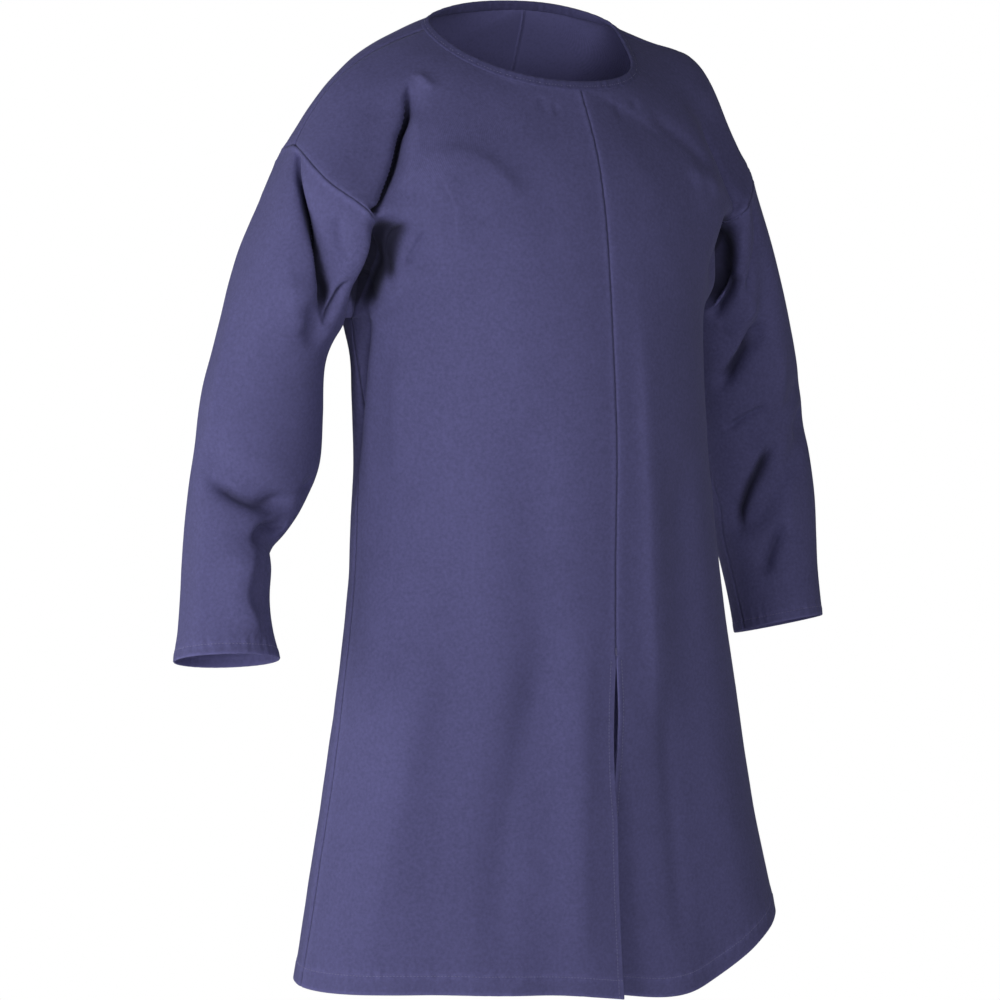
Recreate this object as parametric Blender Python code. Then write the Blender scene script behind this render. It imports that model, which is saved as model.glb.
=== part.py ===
"""Knee-length pullover tunic of cotton drill, filled out as it is worn, open at neck, cuffs and hem.

Four body panels (seams at centre front and centre back), two one-piece sleeves set on a dropped
shoulder and a narrow neck binding. Every piece is a cloth wall lofted through sections that are
worked out from the sizes below. Metres, +Z up, the front faces -Y, the wearer's left is +X.
The origin is the point midway between the neck ends of the two shoulder seams.
"""

import math
from collections import namedtuple

import bmesh
import bpy
import numpy as np

MIRROR = np.array([-1, 1, 1])

# Cloth
CLOTH = 0.002
SEAM_GAP = 0.0003
MOST_MITRE = 2.5
SAME_PLACE = 0.00002

# Neck opening: a ring that leans forward, with the shoulder seams at its widest place
NECK_HALF_WIDTH = 0.119
NECK_SIDE_Y = 0.020
NECK_FRONT_Y = -0.072
NECK_BACK_Y = 0.062
NECK_SLOPE = 0.62
NECK_ROUNDNESS = 2.2
NECK_RUN_FRONT = np.array([0.0, -0.50, -0.86])
NECK_RUN_SIDE = np.array([0.91, 0.0, -0.41])
NECK_RUN_BACK = np.array([0.0, 0.50, -0.86])
BINDING_WIDTH = 0.0095
BINDING_RAISE = 0.0008
BINDING_ROUND = 0.0012

# Armhole: the sleeve seam is an ellipse from the dropped shoulder's tip to the underarm
SHOULDER_TIP = np.array([0.266, 0.028, -0.120])
UNDERARM = np.array([0.203, 0.028, -0.292])
ARMHOLE_HALF_DEPTH = 0.085
# How far the front of the seam drifts off that ellipse, at shares of the way from the underarm up:
# straight from the tip to a corner at the front, and straight from there to the underarm
ArmholeDrift = namedtuple("ArmholeDrift", "share x y z")
ARMHOLE_DRIFT = [
    ArmholeDrift(0.00, 0.0000, 0.0000, 0.0000),
    ArmholeDrift(0.25, 0.0115, 0.0075, 0.0000),
    ArmholeDrift(0.50, -0.0122, -0.0079, 0.0050),
    ArmholeDrift(0.75, 0.0062, 0.0029, -0.0076),
    ArmholeDrift(1.00, 0.0000, 0.0000, 0.0000),
]
ARMHOLE_DRIFT_FADE = 0.09

# Body from the underarm to the hem, one row for each section
BodySection = namedtuple("BodySection", "drop half_width front back side_y sway right_reach left_reach")
BODY_SECTIONS = [
    BodySection(0.292, 0.203, 0.141, 0.130, 0.028, 0.000, 0.552, 0.552),
    BodySection(0.420, 0.202, 0.144, 0.118, 0.026, 0.004, 0.552, 0.590),
    BodySection(0.560, 0.213, 0.140, 0.122, 0.018, 0.006, 0.552, 0.640),
    BodySection(0.700, 0.236, 0.143, 0.130, 0.010, 0.006, 0.540, 0.650),
    BodySection(0.840, 0.260, 0.153, 0.140, 0.000, 0.001, 0.520, 0.670),
    BodySection(0.965, 0.285, 0.168, 0.150, -0.008, -0.002, 0.500, 0.690),
]
UNDERARM_DROP = BODY_SECTIONS[0].drop
HEM_DROP = BODY_SECTIONS[-1].drop

# Centre lines between the underarm level and the neck: how far forward or back at each drop
CentreSection = namedtuple("CentreSection", "drop depth")
CENTRE_FRONT = [CentreSection(0.120, 0.108), CentreSection(0.180, 0.126), CentreSection(0.230, 0.134)]
CENTRE_BACK = [CentreSection(0.020, 0.088), CentreSection(0.100, 0.112), CentreSection(0.200, 0.126)]

# How the cloth runs across a panel, at shares of the way from underarm level up to the shoulder
YokeRow = namedtuple("YokeRow", "share start start_reach finish finish_reach")
YOKE_ROWS = [
    YokeRow(0.00, (1.00, 0.00, 0.00), 0.42, (0.00, 1.00, 0.00), 0.357),
    YokeRow(0.50, (0.95, -0.08, -0.30), 0.38, (0.80, 0.50, -0.25), 0.34),
    YokeRow(1.00, (0.96, 0.00, -0.27), 0.40, (0.45, 0.00, -0.89), 0.36),
]

# Places where the worn cloth stands off its even form, with how far and how wide
Swell = namedtuple("Swell", "x y z radius shift_x shift_y shift_z")
SWELLS = [
    Swell(0.220, 0.020, -0.066, 0.060, 0.003, 0.0, 0.029),
    Swell(-0.150, 0.020, -0.020, 0.060, 0.000, 0.0, -0.002),
    Swell(0.000, 0.095, -0.030, 0.120, 0.036, 0.0, 0.008),
    Swell(0.118, -0.010, -0.010, 0.055, -0.013, 0.0, 0.000),
    Swell(0.080, -0.165, -0.965, 0.110, 0.000, 0.0, -0.030),
    Swell(-0.210, -0.090, -0.965, 0.120, 0.000, 0.0, 0.009),
    Swell(0.245, -0.080, -0.965, 0.090, 0.000, 0.0, 0.016),
]

# Sleeve from below the armhole to the cuff: its inner and outer lines, its middle's place front
# to back, half its depth and how far the front edge is tipped up
SleeveSection = namedtuple("SleeveSection", "inner_x inner_drop outer_x outer_drop y half_depth front_lift")
SLEEVE_SECTIONS = {
    "right": [
        SleeveSection(0.218, 0.298, 0.312, 0.222, 0.036, 0.076, 0.0),
        SleeveSection(0.235, 0.340, 0.340, 0.310, 0.042, 0.064, 3.0),
        SleeveSection(0.234, 0.391, 0.356, 0.361, 0.046, 0.060, 5.0),
        SleeveSection(0.238, 0.442, 0.364, 0.412, 0.047, 0.058, 7.0),
        SleeveSection(0.263, 0.488, 0.375, 0.464, 0.042, 0.056, 10.0),
        SleeveSection(0.292, 0.521, 0.382, 0.503, 0.035, 0.055, 12.0),
        SleeveSection(0.307, 0.560, 0.390, 0.546, 0.026, 0.053, 14.0),
        SleeveSection(0.306, 0.629, 0.411, 0.615, 0.006, 0.050, 17.0),
    ],
    "left": [
        SleeveSection(0.219, 0.298, 0.318, 0.222, 0.036, 0.077, 0.0),
        SleeveSection(0.238, 0.356, 0.360, 0.320, 0.044, 0.068, 3.0),
        SleeveSection(0.259, 0.445, 0.386, 0.415, 0.048, 0.062, 7.0),
        SleeveSection(0.275, 0.538, 0.399, 0.522, 0.036, 0.056, 11.0),
        SleeveSection(0.284, 0.604, 0.391, 0.596, 0.020, 0.052, 14.0),
        SleeveSection(0.288, 0.655, 0.386, 0.651, 0.006, 0.052, 17.0),
    ],
}

# Largest folds of the body: a place is degrees round from centre front, the wearer's left
# positive, and a drop; a positive depth goes inward
BodyFold = namedtuple("BodyFold", "from_angle from_drop to_angle to_drop width depth")
BODY_FOLDS = [
    BodyFold(-79.0, 0.085, -70.0, 0.220, 0.021, 0.022),
    BodyFold(79.0, 0.090, 71.0, 0.240, 0.022, 0.020),
    BodyFold(112.0, 0.110, 116.0, 0.260, 0.024, 0.017),
    BodyFold(-114.0, 0.100, -117.0, 0.250, 0.023, 0.018),
    BodyFold(-34.0, 0.430, -27.0, 0.990, 0.034, 0.006),
    BodyFold(-62.0, 0.520, -58.0, 0.990, 0.030, 0.007),
    BodyFold(38.0, 0.480, 42.0, 0.990, 0.034, 0.007),
    BodyFold(146.0, 0.420, 141.0, 0.990, 0.036, 0.011),
    BodyFold(-142.0, 0.460, -149.0, 0.990, 0.034, 0.012),
    BodyFold(-112.0, 0.560, -108.0, 0.990, 0.030, 0.008),
]
FOLD_RADIUS = 0.19
# Folds die out towards a panel's edges: powers of the way up to the shoulder and out to the
# side, and the share of the way across over which they set in from the centre line
SHOULDER_FADE = 4
SIDE_FADE = 6
CENTRE_FADE = 0.12

# Largest folds of the sleeves: 0 degrees is the inner side, 90 the front, 180 the outer side
SleeveFold = namedtuple("SleeveFold", "from_angle from_drop to_angle to_drop width depth")
SLEEVE_FOLDS = {
    "right": [
        SleeveFold(132.0, 0.190, 84.0, 0.300, 0.014, 0.009),
        SleeveFold(160.0, 0.440, 55.0, 0.486, 0.015, 0.010),
        SleeveFold(75.0, 0.505, 20.0, 0.520, 0.014, 0.008),
        SleeveFold(300.0, 0.410, 240.0, 0.450, 0.016, 0.009),
    ],
    "left": [
        SleeveFold(118.0, 0.210, 80.0, 0.320, 0.015, 0.010),
        SleeveFold(125.0, 0.400, 55.0, 0.430, 0.014, 0.008),
        SleeveFold(130.0, 0.445, 50.0, 0.530, 0.016, 0.010),
        SleeveFold(290.0, 0.400, 235.0, 0.440, 0.016, 0.009),
    ],
}
SLEEVE_FOLD_RADIUS = 0.058
SLEEVE_FOLD_START = 0.06

# Slit from the hem up the centre front: the edges part below its top, and lower down the left
# front falls back behind the right front
SLIT_TOP_DROP = 0.632
SLIT_PART = 0.004
SLIT_FALL_BACK = 0.018
SLIT_REACH = 0.07

# Fineness of the lofts
ROWS_SKIRT = 15
ROWS_CHEST = 6
ROWS_NECK = 9
COLUMNS = 15
COLUMN_CROWDING = 0.1
SLEEVE_ROWS = 15
SHARP_ANGLE = math.radians(50)

INDIGO = (0.082, 0.079, 0.196, 1.0)
INDIGO_BAND = (0.066, 0.064, 0.165, 1.0)
ROUGHNESS = 0.9


def smooth(stations, values, at):
    """Cubic curve through the values at the stations, read at the places given."""
    stations = np.asarray(stations, float)
    values = np.asarray(values, float).reshape(len(stations), -1)
    step = np.diff(stations)[:, None]
    slope = np.diff(values, axis=0) / step
    tangent = np.empty_like(values)
    tangent[1:-1] = (slope[:-1] * step[1:] + slope[1:] * step[:-1]) / (step[1:] + step[:-1])
    tangent[0] = 1.5 * slope[0] - 0.5 * tangent[1]
    tangent[-1] = 1.5 * slope[-1] - 0.5 * tangent[-2]
    at = np.asarray(at, float)
    left = np.clip(np.searchsorted(stations, at) - 1, 0, len(stations) - 2)
    width = (stations[left + 1] - stations[left])[:, None]
    t = (at - stations[left])[:, None] / width
    return (
        (1 + 2 * t) * (1 - t) ** 2 * values[left]
        + t * (1 - t) ** 2 * width * tangent[left]
        + t * t * (3 - 2 * t) * values[left + 1]
        + t * t * (t - 1) * width * tangent[left + 1]
    )


def ease(t):
    """0 below 0, 1 above 1 and a smooth step between."""
    t = np.clip(t, 0.0, 1.0)
    return t * t * (3 - 2 * t)


def unit(vectors):
    return vectors / np.linalg.norm(vectors, axis=-1, keepdims=True)


def neck_ring(share, front, set_back):
    """Half of the neck ring: share 0 at the centre line, 1 at the shoulder seam. set_back moves
    it down over the cloth, to where the panels end under the binding."""
    turn = share * math.pi / 2
    power = 2 / NECK_ROUNDNESS
    far_y = NECK_FRONT_Y if front else NECK_BACK_Y
    x = NECK_HALF_WIDTH * np.sin(turn) ** power
    y = NECK_SIDE_Y + (far_y - NECK_SIDE_Y) * np.abs(np.cos(turn)) ** power
    z = NECK_SLOPE * (y - NECK_SIDE_Y)
    far_run = NECK_RUN_FRONT if front else NECK_RUN_BACK
    run = np.cos(turn)[:, None] ** 2 * far_run + np.sin(turn)[:, None] ** 2 * NECK_RUN_SIDE
    return np.stack([x, y, z], axis=-1) + set_back * unit(run)


def whole_neck(set_back):
    """The neck ring all round: centre front, left shoulder, centre back, right shoulder."""
    quarter = np.linspace(0, 1, ROWS_NECK + 1)
    left = np.concatenate([neck_ring(quarter, True, set_back), neck_ring(quarter, False, set_back)[-2::-1]])
    right = (left * MIRROR)[-2:0:-1]
    return swell(np.concatenate([left, right]))


def neck_frame():
    """The binding's lower edge all round, with the ways from it up to the neck edge and outward."""
    edge = whole_neck(0.0)
    base = whole_neck(BINDING_WIDTH)
    upward = unit(edge - base)
    tangent = np.roll(base, -1, axis=0) - np.roll(base, 1, axis=0)
    return base, upward, unit(np.cross(tangent, upward))


def neck_normals(front, side):
    """The binding's outward way at one panel's neck points, centre to shoulder."""
    _, _, outward = neck_frame()
    start = 0 if front else 2 * ROWS_NECK
    step = 1 if front == (side == "left") else -1
    return outward[(start + step * np.arange(ROWS_NECK + 1)) % len(outward)]


def armhole_ring(turn):
    """The sleeve seam: turn 0 at the underarm, pi at the shoulder tip, the front half positive."""
    centre = (SHOULDER_TIP + UNDERARM) / 2
    half = (UNDERARM - SHOULDER_TIP) / 2
    forward = np.array([0.0, -ARMHOLE_HALF_DEPTH, 0.0])
    return centre + np.cos(turn)[:, None] * half + np.sin(turn)[:, None] * forward + armhole_drift(turn)


def armhole_drift(turn):
    """How far the seam lies off its ellipse: a curve through the table's rows on the front half."""
    share = np.clip(turn / math.pi, 0, 1)
    table = np.array(ARMHOLE_DRIFT)
    front = (turn >= 0) & (turn <= math.pi)
    return smooth(table[:, 0], table[:, 1:], share) * front[:, None]


def yoke_start(front):
    """Points up the panel's inner edge above underarm level: the centre line up to the neck, then
    round the neck to the shoulder. Also gives each one's share of the way."""
    forward = -1.0 if front else 1.0
    lowest = BODY_SECTIONS[0]
    neck = neck_ring(np.linspace(0, 1, ROWS_NECK + 1), front, BINDING_WIDTH)
    table = CENTRE_FRONT if front else CENTRE_BACK
    drops = [-neck[0, 2]] + [row.drop for row in table] + [lowest.drop]
    depths = [abs(neck[0, 1])] + [row.depth for row in table] + [lowest.front if front else lowest.back]
    drop = np.linspace(lowest.drop, drops[0], ROWS_CHEST + 1)
    depth = smooth(drops, depths, drop)[:, 0]
    centre = np.stack([np.zeros_like(drop), forward * depth, -drop], axis=-1)
    line = np.concatenate([centre, neck[1:]])
    way = np.concatenate([[0.0], np.cumsum(np.linalg.norm(np.diff(line, axis=0), axis=1))])
    return line[1:], way[1:] / way[-1]


def bezier(start, start_handle, finish_handle, finish, across):
    """Rows of cubic curves, one for each start point, read at the shares across."""
    t = across[None, :, None]
    lift = 1 - t
    return (
        lift**3 * start[:, None]
        + 3 * lift**2 * t * (start + start_handle)[:, None]
        + 3 * lift * t**2 * (finish - finish_handle)[:, None]
        + t**3 * finish[:, None]
    )


def skirt_rows(front, side, drops, across):
    """Quarter rounds of the body from the hem up to underarm level, squarer for a longer reach."""
    table = np.array(BODY_SECTIONS)
    columns = smooth(table[:, 0], table[:, 1:], drops).T
    half, front_depth, back_depth, side_y, _, right_reach, left_reach = columns
    centre_y = -front_depth if front else back_depth
    reach = left_reach if front and side == "left" else right_reach
    nothing = np.zeros_like(drops)
    start = np.stack([nothing, centre_y, -drops], axis=-1)
    finish = np.stack([half, side_y, -drops], axis=-1)
    start_handle = np.stack([reach * half, nothing, nothing], axis=-1)
    finish_handle = np.stack([nothing, reach * (side_y - centre_y), nothing], axis=-1)
    return bezier(start, start_handle, finish_handle, finish, across)


def yoke_rows(front, across):
    """Rows from the centre line and the neck to the armhole, up to the shoulder seam."""
    start, shares = yoke_start(front)
    turn = shares * math.pi
    finish = armhole_ring(turn if front else -turn)
    chord = np.linalg.norm(finish - start, axis=1)[:, None]
    keys = [row.share for row in YOKE_ROWS]
    leave = smooth(keys, [row.start for row in YOKE_ROWS], shares)
    arrive = smooth(keys, [row.finish for row in YOKE_ROWS], shares)
    leave_reach = smooth(keys, [row.start_reach for row in YOKE_ROWS], shares)
    arrive_reach = smooth(keys, [row.finish_reach for row in YOKE_ROWS], shares)
    if not front:
        leave = leave * np.array([1, -1, 1])
        arrive = arrive * np.array([1, -1, 1])
    start_handle = unit(leave) * leave_reach * chord
    finish_handle = unit(arrive) * arrive_reach * chord
    return bezier(start, start_handle, finish_handle, finish, across)


def panel_surface(front, side):
    """Outer face of one body panel as rows of points, hem to shoulder, centre to side."""
    even = np.linspace(0, 1, COLUMNS)
    across = even + COLUMN_CROWDING * np.sin(math.pi * even)
    drops = np.linspace(HEM_DROP, UNDERARM_DROP, ROWS_SKIRT + 1)
    points = np.concatenate([skirt_rows(front, side, drops, across), yoke_rows(front, across)])
    if front:
        points = points + slit_shift(points, side)
    if side == "right":
        points = points * MIRROR
    points = swell(points + body_sway(points))
    up = np.concatenate([np.zeros(len(drops)), yoke_start(front)[1]])[:, None]
    inside = (1 - up**SHOULDER_FADE) * (1 - across**SIDE_FADE) * ease(across / CENTRE_FADE)
    depth = body_fold_depth(points) * inside
    return points - depth[..., None] * grid_normals(points, False, panel_turn(front, side))


def panel_turn(front, side):
    """1 where rows up and columns outward give a normal that faces out, -1 where it faces in."""
    return 1.0 if front == (side == "left") else -1.0


def grid_normals(points, closed, turn):
    """Unit normals of a grid of points; closed grids run round from the last column to the first."""
    if closed:
        wide = np.concatenate([points[:, -1:], points, points[:, :1]], axis=1)
        across = np.gradient(wide, axis=1)[:, 1:-1]
    else:
        across = np.gradient(points, axis=1)
    return turn * unit(np.cross(across, np.gradient(points, axis=0)))


def fold_depth(folds, degrees, drop, radius):
    """Depth of all folds at each place: a soft trough round the line of each one, that runs out
    beyond its ends."""
    depth = np.zeros_like(drop)
    for fold in folds:
        turn = math.radians(fold.to_angle - fold.from_angle)
        run = np.array([turn * radius, fold.to_drop - fold.from_drop])
        round_about = (degrees - fold.from_angle + 180) % 360 - 180
        place = np.stack([np.radians(round_about) * radius, drop - fold.from_drop], axis=-1)
        share = np.clip(place @ run / (run @ run), 0, 1)
        away = np.linalg.norm(place - share[..., None] * run, axis=-1) / fold.width
        depth += fold.depth * np.exp(-(away**2))
    return depth


def body_fold_depth(points):
    degrees = np.degrees(np.arctan2(points[..., 0], -points[..., 1]))
    return fold_depth(BODY_FOLDS, degrees, -points[..., 2], FOLD_RADIUS)


def swell(points):
    """Points moved by every swell, each fading out with the distance from its middle."""
    moved = points.copy()
    for place in SWELLS:
        away = np.linalg.norm(points - np.array(place[:3]), axis=-1) / place.radius
        moved += np.exp(-(away**2))[..., None] * np.array(place[4:])
    return moved


def body_sway(points):
    """The skirt hangs a little to the wearer's left, more so below the waist."""
    table = np.array(BODY_SECTIONS)
    drop = np.clip(-points[..., 2], UNDERARM_DROP, HEM_DROP)
    shift = np.zeros_like(points)
    shift[..., 0] = np.interp(drop, table[:, 0], table[:, 5])
    return shift


def slit_shift(points, side):
    """How the front's edges stand apart below the top of the slit, fading out across the panel."""
    down = (-points[..., 2] - SLIT_TOP_DROP) / (HEM_DROP - SLIT_TOP_DROP)
    near = np.exp(-((points[..., 0] / SLIT_REACH) ** 2))
    shift = np.zeros_like(points)
    shift[..., 0] = SLIT_PART * near * np.sin(math.pi * np.clip(down, 0, 0.5) * 2)
    if side == "left":
        shift[..., 1] = SLIT_FALL_BACK * near * ease(down)
    return shift


def sleeve_table(side):
    """The armhole's own section followed by the sleeve's sections, as an array of columns."""
    under, tip = UNDERARM, SHOULDER_TIP
    armhole = SleeveSection(under[0], -under[2], tip[0], -tip[2], tip[1], ARMHOLE_HALF_DEPTH, 0.0)
    return np.array([armhole] + SLEEVE_SECTIONS[side])


def sleeve_surface(side):
    """Outer face of a sleeve as rings of points from the armhole to the cuff."""
    table = sleeve_table(side)
    middle = np.stack([table[:, 0] + table[:, 2], 2 * table[:, 4], table[:, 1] + table[:, 3]], axis=-1) / 2
    station = np.concatenate([[0.0], np.cumsum(np.linalg.norm(np.diff(middle, axis=0), axis=1))])
    place = np.linspace(0, station[-1], SLEEVE_ROWS + 1)
    inner_x, inner_drop, outer_x, outer_drop, y, half_depth, front_lift = smooth(station, table, place).T
    lift = np.radians(front_lift)
    nothing = np.zeros_like(y)
    inner = np.stack([inner_x, y, -inner_drop], axis=-1)
    outer = np.stack([outer_x, y, -outer_drop], axis=-1)
    forward = half_depth[:, None] * np.stack([nothing, -np.cos(lift), np.sin(lift)], axis=-1)
    front_turn = np.concatenate([[0.0], yoke_start(True)[1]]) * math.pi
    back_turn = 2 * math.pi - yoke_start(False)[1][-2::-1] * math.pi
    turn = np.concatenate([front_turn, back_turn])
    centre = (inner + outer) / 2
    outward = np.cos(turn)[:, None] * ((inner - outer) / 2)[:, None]
    outward = outward + np.sin(turn)[:, None] * forward[:, None]
    degrees, down = np.meshgrid(np.degrees(turn), -centre[:, 2])
    depth = fold_depth(SLEEVE_FOLDS[side], degrees, down, SLEEVE_FOLD_RADIUS)
    depth = depth * ease(place / SLEEVE_FOLD_START)[:, None]
    points = centre[:, None] + outward - depth[..., None] * unit(outward)
    drift = 1 - ease(place / ARMHOLE_DRIFT_FADE)
    points = points + drift[:, None, None] * armhole_drift(turn)
    if side == "right":
        points = points * MIRROR
    return swell(points)


def seam_offsets(surfaces, normals):
    """Way from each piece's outer face to its inner face. Points where pieces meet share one
    direction, longer at a sharp bend, so that the walls end on one plane there."""
    names = list(surfaces)
    points = np.concatenate([surfaces[name].reshape(-1, 3) for name in names])
    own = np.concatenate([normals[name].reshape(-1, 3) for name in names])
    _, group = np.unique(np.round(points / SAME_PLACE).astype(int), axis=0, return_inverse=True)
    group = group.ravel()
    total = np.zeros((group.max() + 1, 3))
    np.add.at(total, group, own)
    shared = unit(total)[group]
    facing = np.zeros(group.max() + 1)
    np.add.at(facing, group, np.sum(own * shared, axis=1))
    facing = (facing / np.bincount(group))[group]
    offset = -CLOTH * shared / np.clip(facing, 1 / MOST_MITRE, 1)[:, None]
    ends = np.cumsum([surfaces[name].size // 3 for name in names])[:-1]
    return {name: part.reshape(surfaces[name].shape) for name, part in zip(names, np.split(offset, ends))}


def pull_back(points, piece):
    """Edges drawn in from the seams by half of the gap that parts two pieces."""
    moved = points.copy()
    half_gap = SEAM_GAP / 2
    if piece.startswith("sleeve"):
        moved[0] += SEAM_GAP * unit(points[1] - points[0])
        return moved
    moved[:, 0] += half_gap * unit(points[:, 1] - points[:, 0])
    moved[:, -1] += half_gap * unit(points[:, -2] - points[:, -1])
    moved[-1] += half_gap * unit(points[-2] - points[-1])
    return moved


def rim(shell, outer_a, inner_a, outer_b, inner_b):
    """The edge of a wall between two neighbours, split from the lower outer point, so that two
    walls that meet at a seam are split alike."""
    if outer_a.co.z > outer_b.co.z:
        outer_a, inner_a, outer_b, inner_b = outer_b, inner_b, outer_a, inner_a
    shell.faces.new((outer_a, inner_b, outer_b))
    shell.faces.new((outer_a, inner_a, inner_b))


def face_outward(shell):
    """Turn all faces of a closed shell the same way, and out of its cloth."""
    bmesh.ops.recalc_face_normals(shell, faces=shell.faces)
    if shell.calc_volume(signed=True) < 0:
        bmesh.ops.reverse_faces(shell, faces=shell.faces)


def wall_object(name, outer, inner, closed, material, collection):
    """A cloth wall between two like grids of points, with its edges closed."""
    rows, columns = outer.shape[:2]
    mesh = bpy.data.meshes.new(name)
    shell = bmesh.new()
    top, under = [[[shell.verts.new(p) for p in row] for row in grid] for grid in (outer, inner)]
    across = [(j, (j + 1) % columns) for j in range(columns if closed else columns - 1)]
    for i in range(rows - 1):
        for j, k in across:
            for grid in (top, under):
                shell.faces.new((grid[i][j], grid[i][k], grid[i + 1][k], grid[i + 1][j]))
    for i in (0, rows - 1):
        for j, k in across:
            rim(shell, top[i][j], under[i][j], top[i][k], under[i][k])
    if not closed:
        for j in (0, columns - 1):
            for i in range(rows - 1):
                rim(shell, top[i][j], under[i][j], top[i + 1][j], under[i + 1][j])
    face_outward(shell)
    shell.to_mesh(mesh)
    shell.free()
    return place(name, mesh, material, collection)


def place(name, mesh, material, collection):
    mesh.materials.append(material)
    mesh.shade_smooth()
    mesh.set_sharp_from_angle(angle=SHARP_ANGLE)
    piece = bpy.data.objects.new(name, mesh)
    collection.objects.link(piece)
    return piece


def neck_binding(material, collection):
    """The folded strip round the neck: one rounded section carried along the ring."""
    base, upward, outward = neck_frame()
    low = -CLOTH - BINDING_RAISE
    middle = -CLOTH / 2
    section = [
        (SEAM_GAP, low),
        (SEAM_GAP, BINDING_RAISE),
        (BINDING_WIDTH - BINDING_ROUND, BINDING_RAISE),
        (BINDING_WIDTH, middle + BINDING_ROUND / 2),
        (BINDING_WIDTH, middle - BINDING_ROUND / 2),
        (BINDING_WIDTH - BINDING_ROUND, low),
    ]
    rings = np.stack([base + reach * upward + height * outward for reach, height in section])
    return ring_object("neck_binding", rings, material, collection)


def ring_object(name, rings, material, collection):
    """A closed band from like rings of points that run round its section. The first two are the
    inner and outer corner of the face that meets the panels."""
    mesh = bpy.data.meshes.new(name)
    band = bmesh.new()
    points = [[band.verts.new(p) for p in ring] for ring in rings]
    steps = len(points[0])
    around = [(j, (j + 1) % steps) for j in range(steps)]
    for j, k in around:
        rim(band, points[1][j], points[0][j], points[1][k], points[0][k])
        for this, other in zip(points[1:], points[2:] + points[:1]):
            band.faces.new((this[j], this[k], other[k], other[j]))
    face_outward(band)
    band.to_mesh(mesh)
    band.free()
    return place(name, mesh, material, collection)


def cloth_material(name, colour):
    material = bpy.data.materials.new(name)
    material.use_nodes = True
    shader = material.node_tree.nodes["Principled BSDF"]
    shader.inputs["Base Color"].default_value = colour
    shader.inputs["Roughness"].default_value = ROUGHNESS
    shader.inputs["Metallic"].default_value = 0.0
    material.diffuse_color = colour
    return material


def main():
    for item in list(bpy.data.objects):
        bpy.data.objects.remove(item, do_unlink=True)
    collection = bpy.data.collections.new("tunic")
    bpy.context.scene.collection.children.link(collection)
    drill = cloth_material("indigo drill", INDIGO)
    band = cloth_material("indigo binding", INDIGO_BAND)

    surfaces = {}
    normals = {}
    for side in ("right", "left"):
        for front in (True, False):
            name = ("front_" if front else "back_") + side
            surfaces[name] = panel_surface(front, side)
            normals[name] = grid_normals(surfaces[name], False, panel_turn(front, side))
            normals[name][ROWS_SKIRT + ROWS_CHEST :, 0] = neck_normals(front, side)
        name = "sleeve_" + side
        surfaces[name] = sleeve_surface(side)
        normals[name] = grid_normals(surfaces[name], True, 1.0 if side == "right" else -1.0)

    offsets = seam_offsets(surfaces, normals)
    for name, surface in surfaces.items():
        outer = pull_back(surface, name)
        wall_object(name, outer, outer + offsets[name], name.startswith("sleeve"), drill, collection)
    neck_binding(band, collection)


if __name__ == "__main__":
    main()
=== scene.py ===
"""Looks of the medieval tunic: cut-and-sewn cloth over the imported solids, in their frame.

Every cloth piece is a thin wall on its solid's form, with the creases, turned edges and stitches of
worn cotton drill. Metres, +Z up, the front faces -Y, the wearer's left is +X.
"""

import math
from collections import namedtuple
from functools import lru_cache

import bpy
import numpy as np
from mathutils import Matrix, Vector


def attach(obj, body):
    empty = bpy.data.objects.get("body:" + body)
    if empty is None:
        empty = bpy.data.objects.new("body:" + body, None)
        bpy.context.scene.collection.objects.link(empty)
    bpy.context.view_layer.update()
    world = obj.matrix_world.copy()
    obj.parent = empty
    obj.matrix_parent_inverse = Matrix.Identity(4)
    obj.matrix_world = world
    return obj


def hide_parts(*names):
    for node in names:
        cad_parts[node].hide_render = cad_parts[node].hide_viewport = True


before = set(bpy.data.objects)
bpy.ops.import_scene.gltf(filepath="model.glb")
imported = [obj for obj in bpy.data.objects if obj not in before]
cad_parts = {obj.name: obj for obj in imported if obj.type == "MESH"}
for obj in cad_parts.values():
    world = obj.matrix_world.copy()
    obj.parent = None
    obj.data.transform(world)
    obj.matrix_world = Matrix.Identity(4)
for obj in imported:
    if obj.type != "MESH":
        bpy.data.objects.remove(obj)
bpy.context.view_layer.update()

bl_info = {
    "name": "Tunic cloth",
    "version": (1, 0, 0),
    "blender": (4, 5, 0),
    "location": "3D View > Sidebar > Tunic",
    "description": "Sews the tunic's cloth, binding and stitches over its solids and lights it",
    "category": "Object",
}

SIDES = ("right", "left")
PANELS = [(front, side) for side in SIDES for front in (True, False)]
MIRROR = np.array([-1, 1, 1])
SAME_PLACE = 0.00002
MOST_MITRE = 2.0

# Neck opening, as in the solids
NECK_HALF_WIDTH = 0.119
NECK_SIDE_Y = 0.020
NECK_FRONT_Y = -0.072
NECK_BACK_Y = 0.062
NECK_SLOPE = 0.62
NECK_ROUNDNESS = 2.2
NECK_RUN_FRONT = np.array([0.0, -0.50, -0.86])
NECK_RUN_SIDE = np.array([0.91, 0.0, -0.41])
NECK_RUN_BACK = np.array([0.0, 0.50, -0.86])
BINDING_WIDTH = 0.0095
BINDING_RAISE = 0.0009
BINDING_OVERLAP = 0.0016

# Armhole, as in the solids
SHOULDER_TIP = np.array([0.266, 0.028, -0.120])
UNDERARM = np.array([0.203, 0.028, -0.292])
ARMHOLE_CENTRE = (SHOULDER_TIP + UNDERARM) / 2
ARMHOLE_HALF_DEPTH = 0.085
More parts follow.
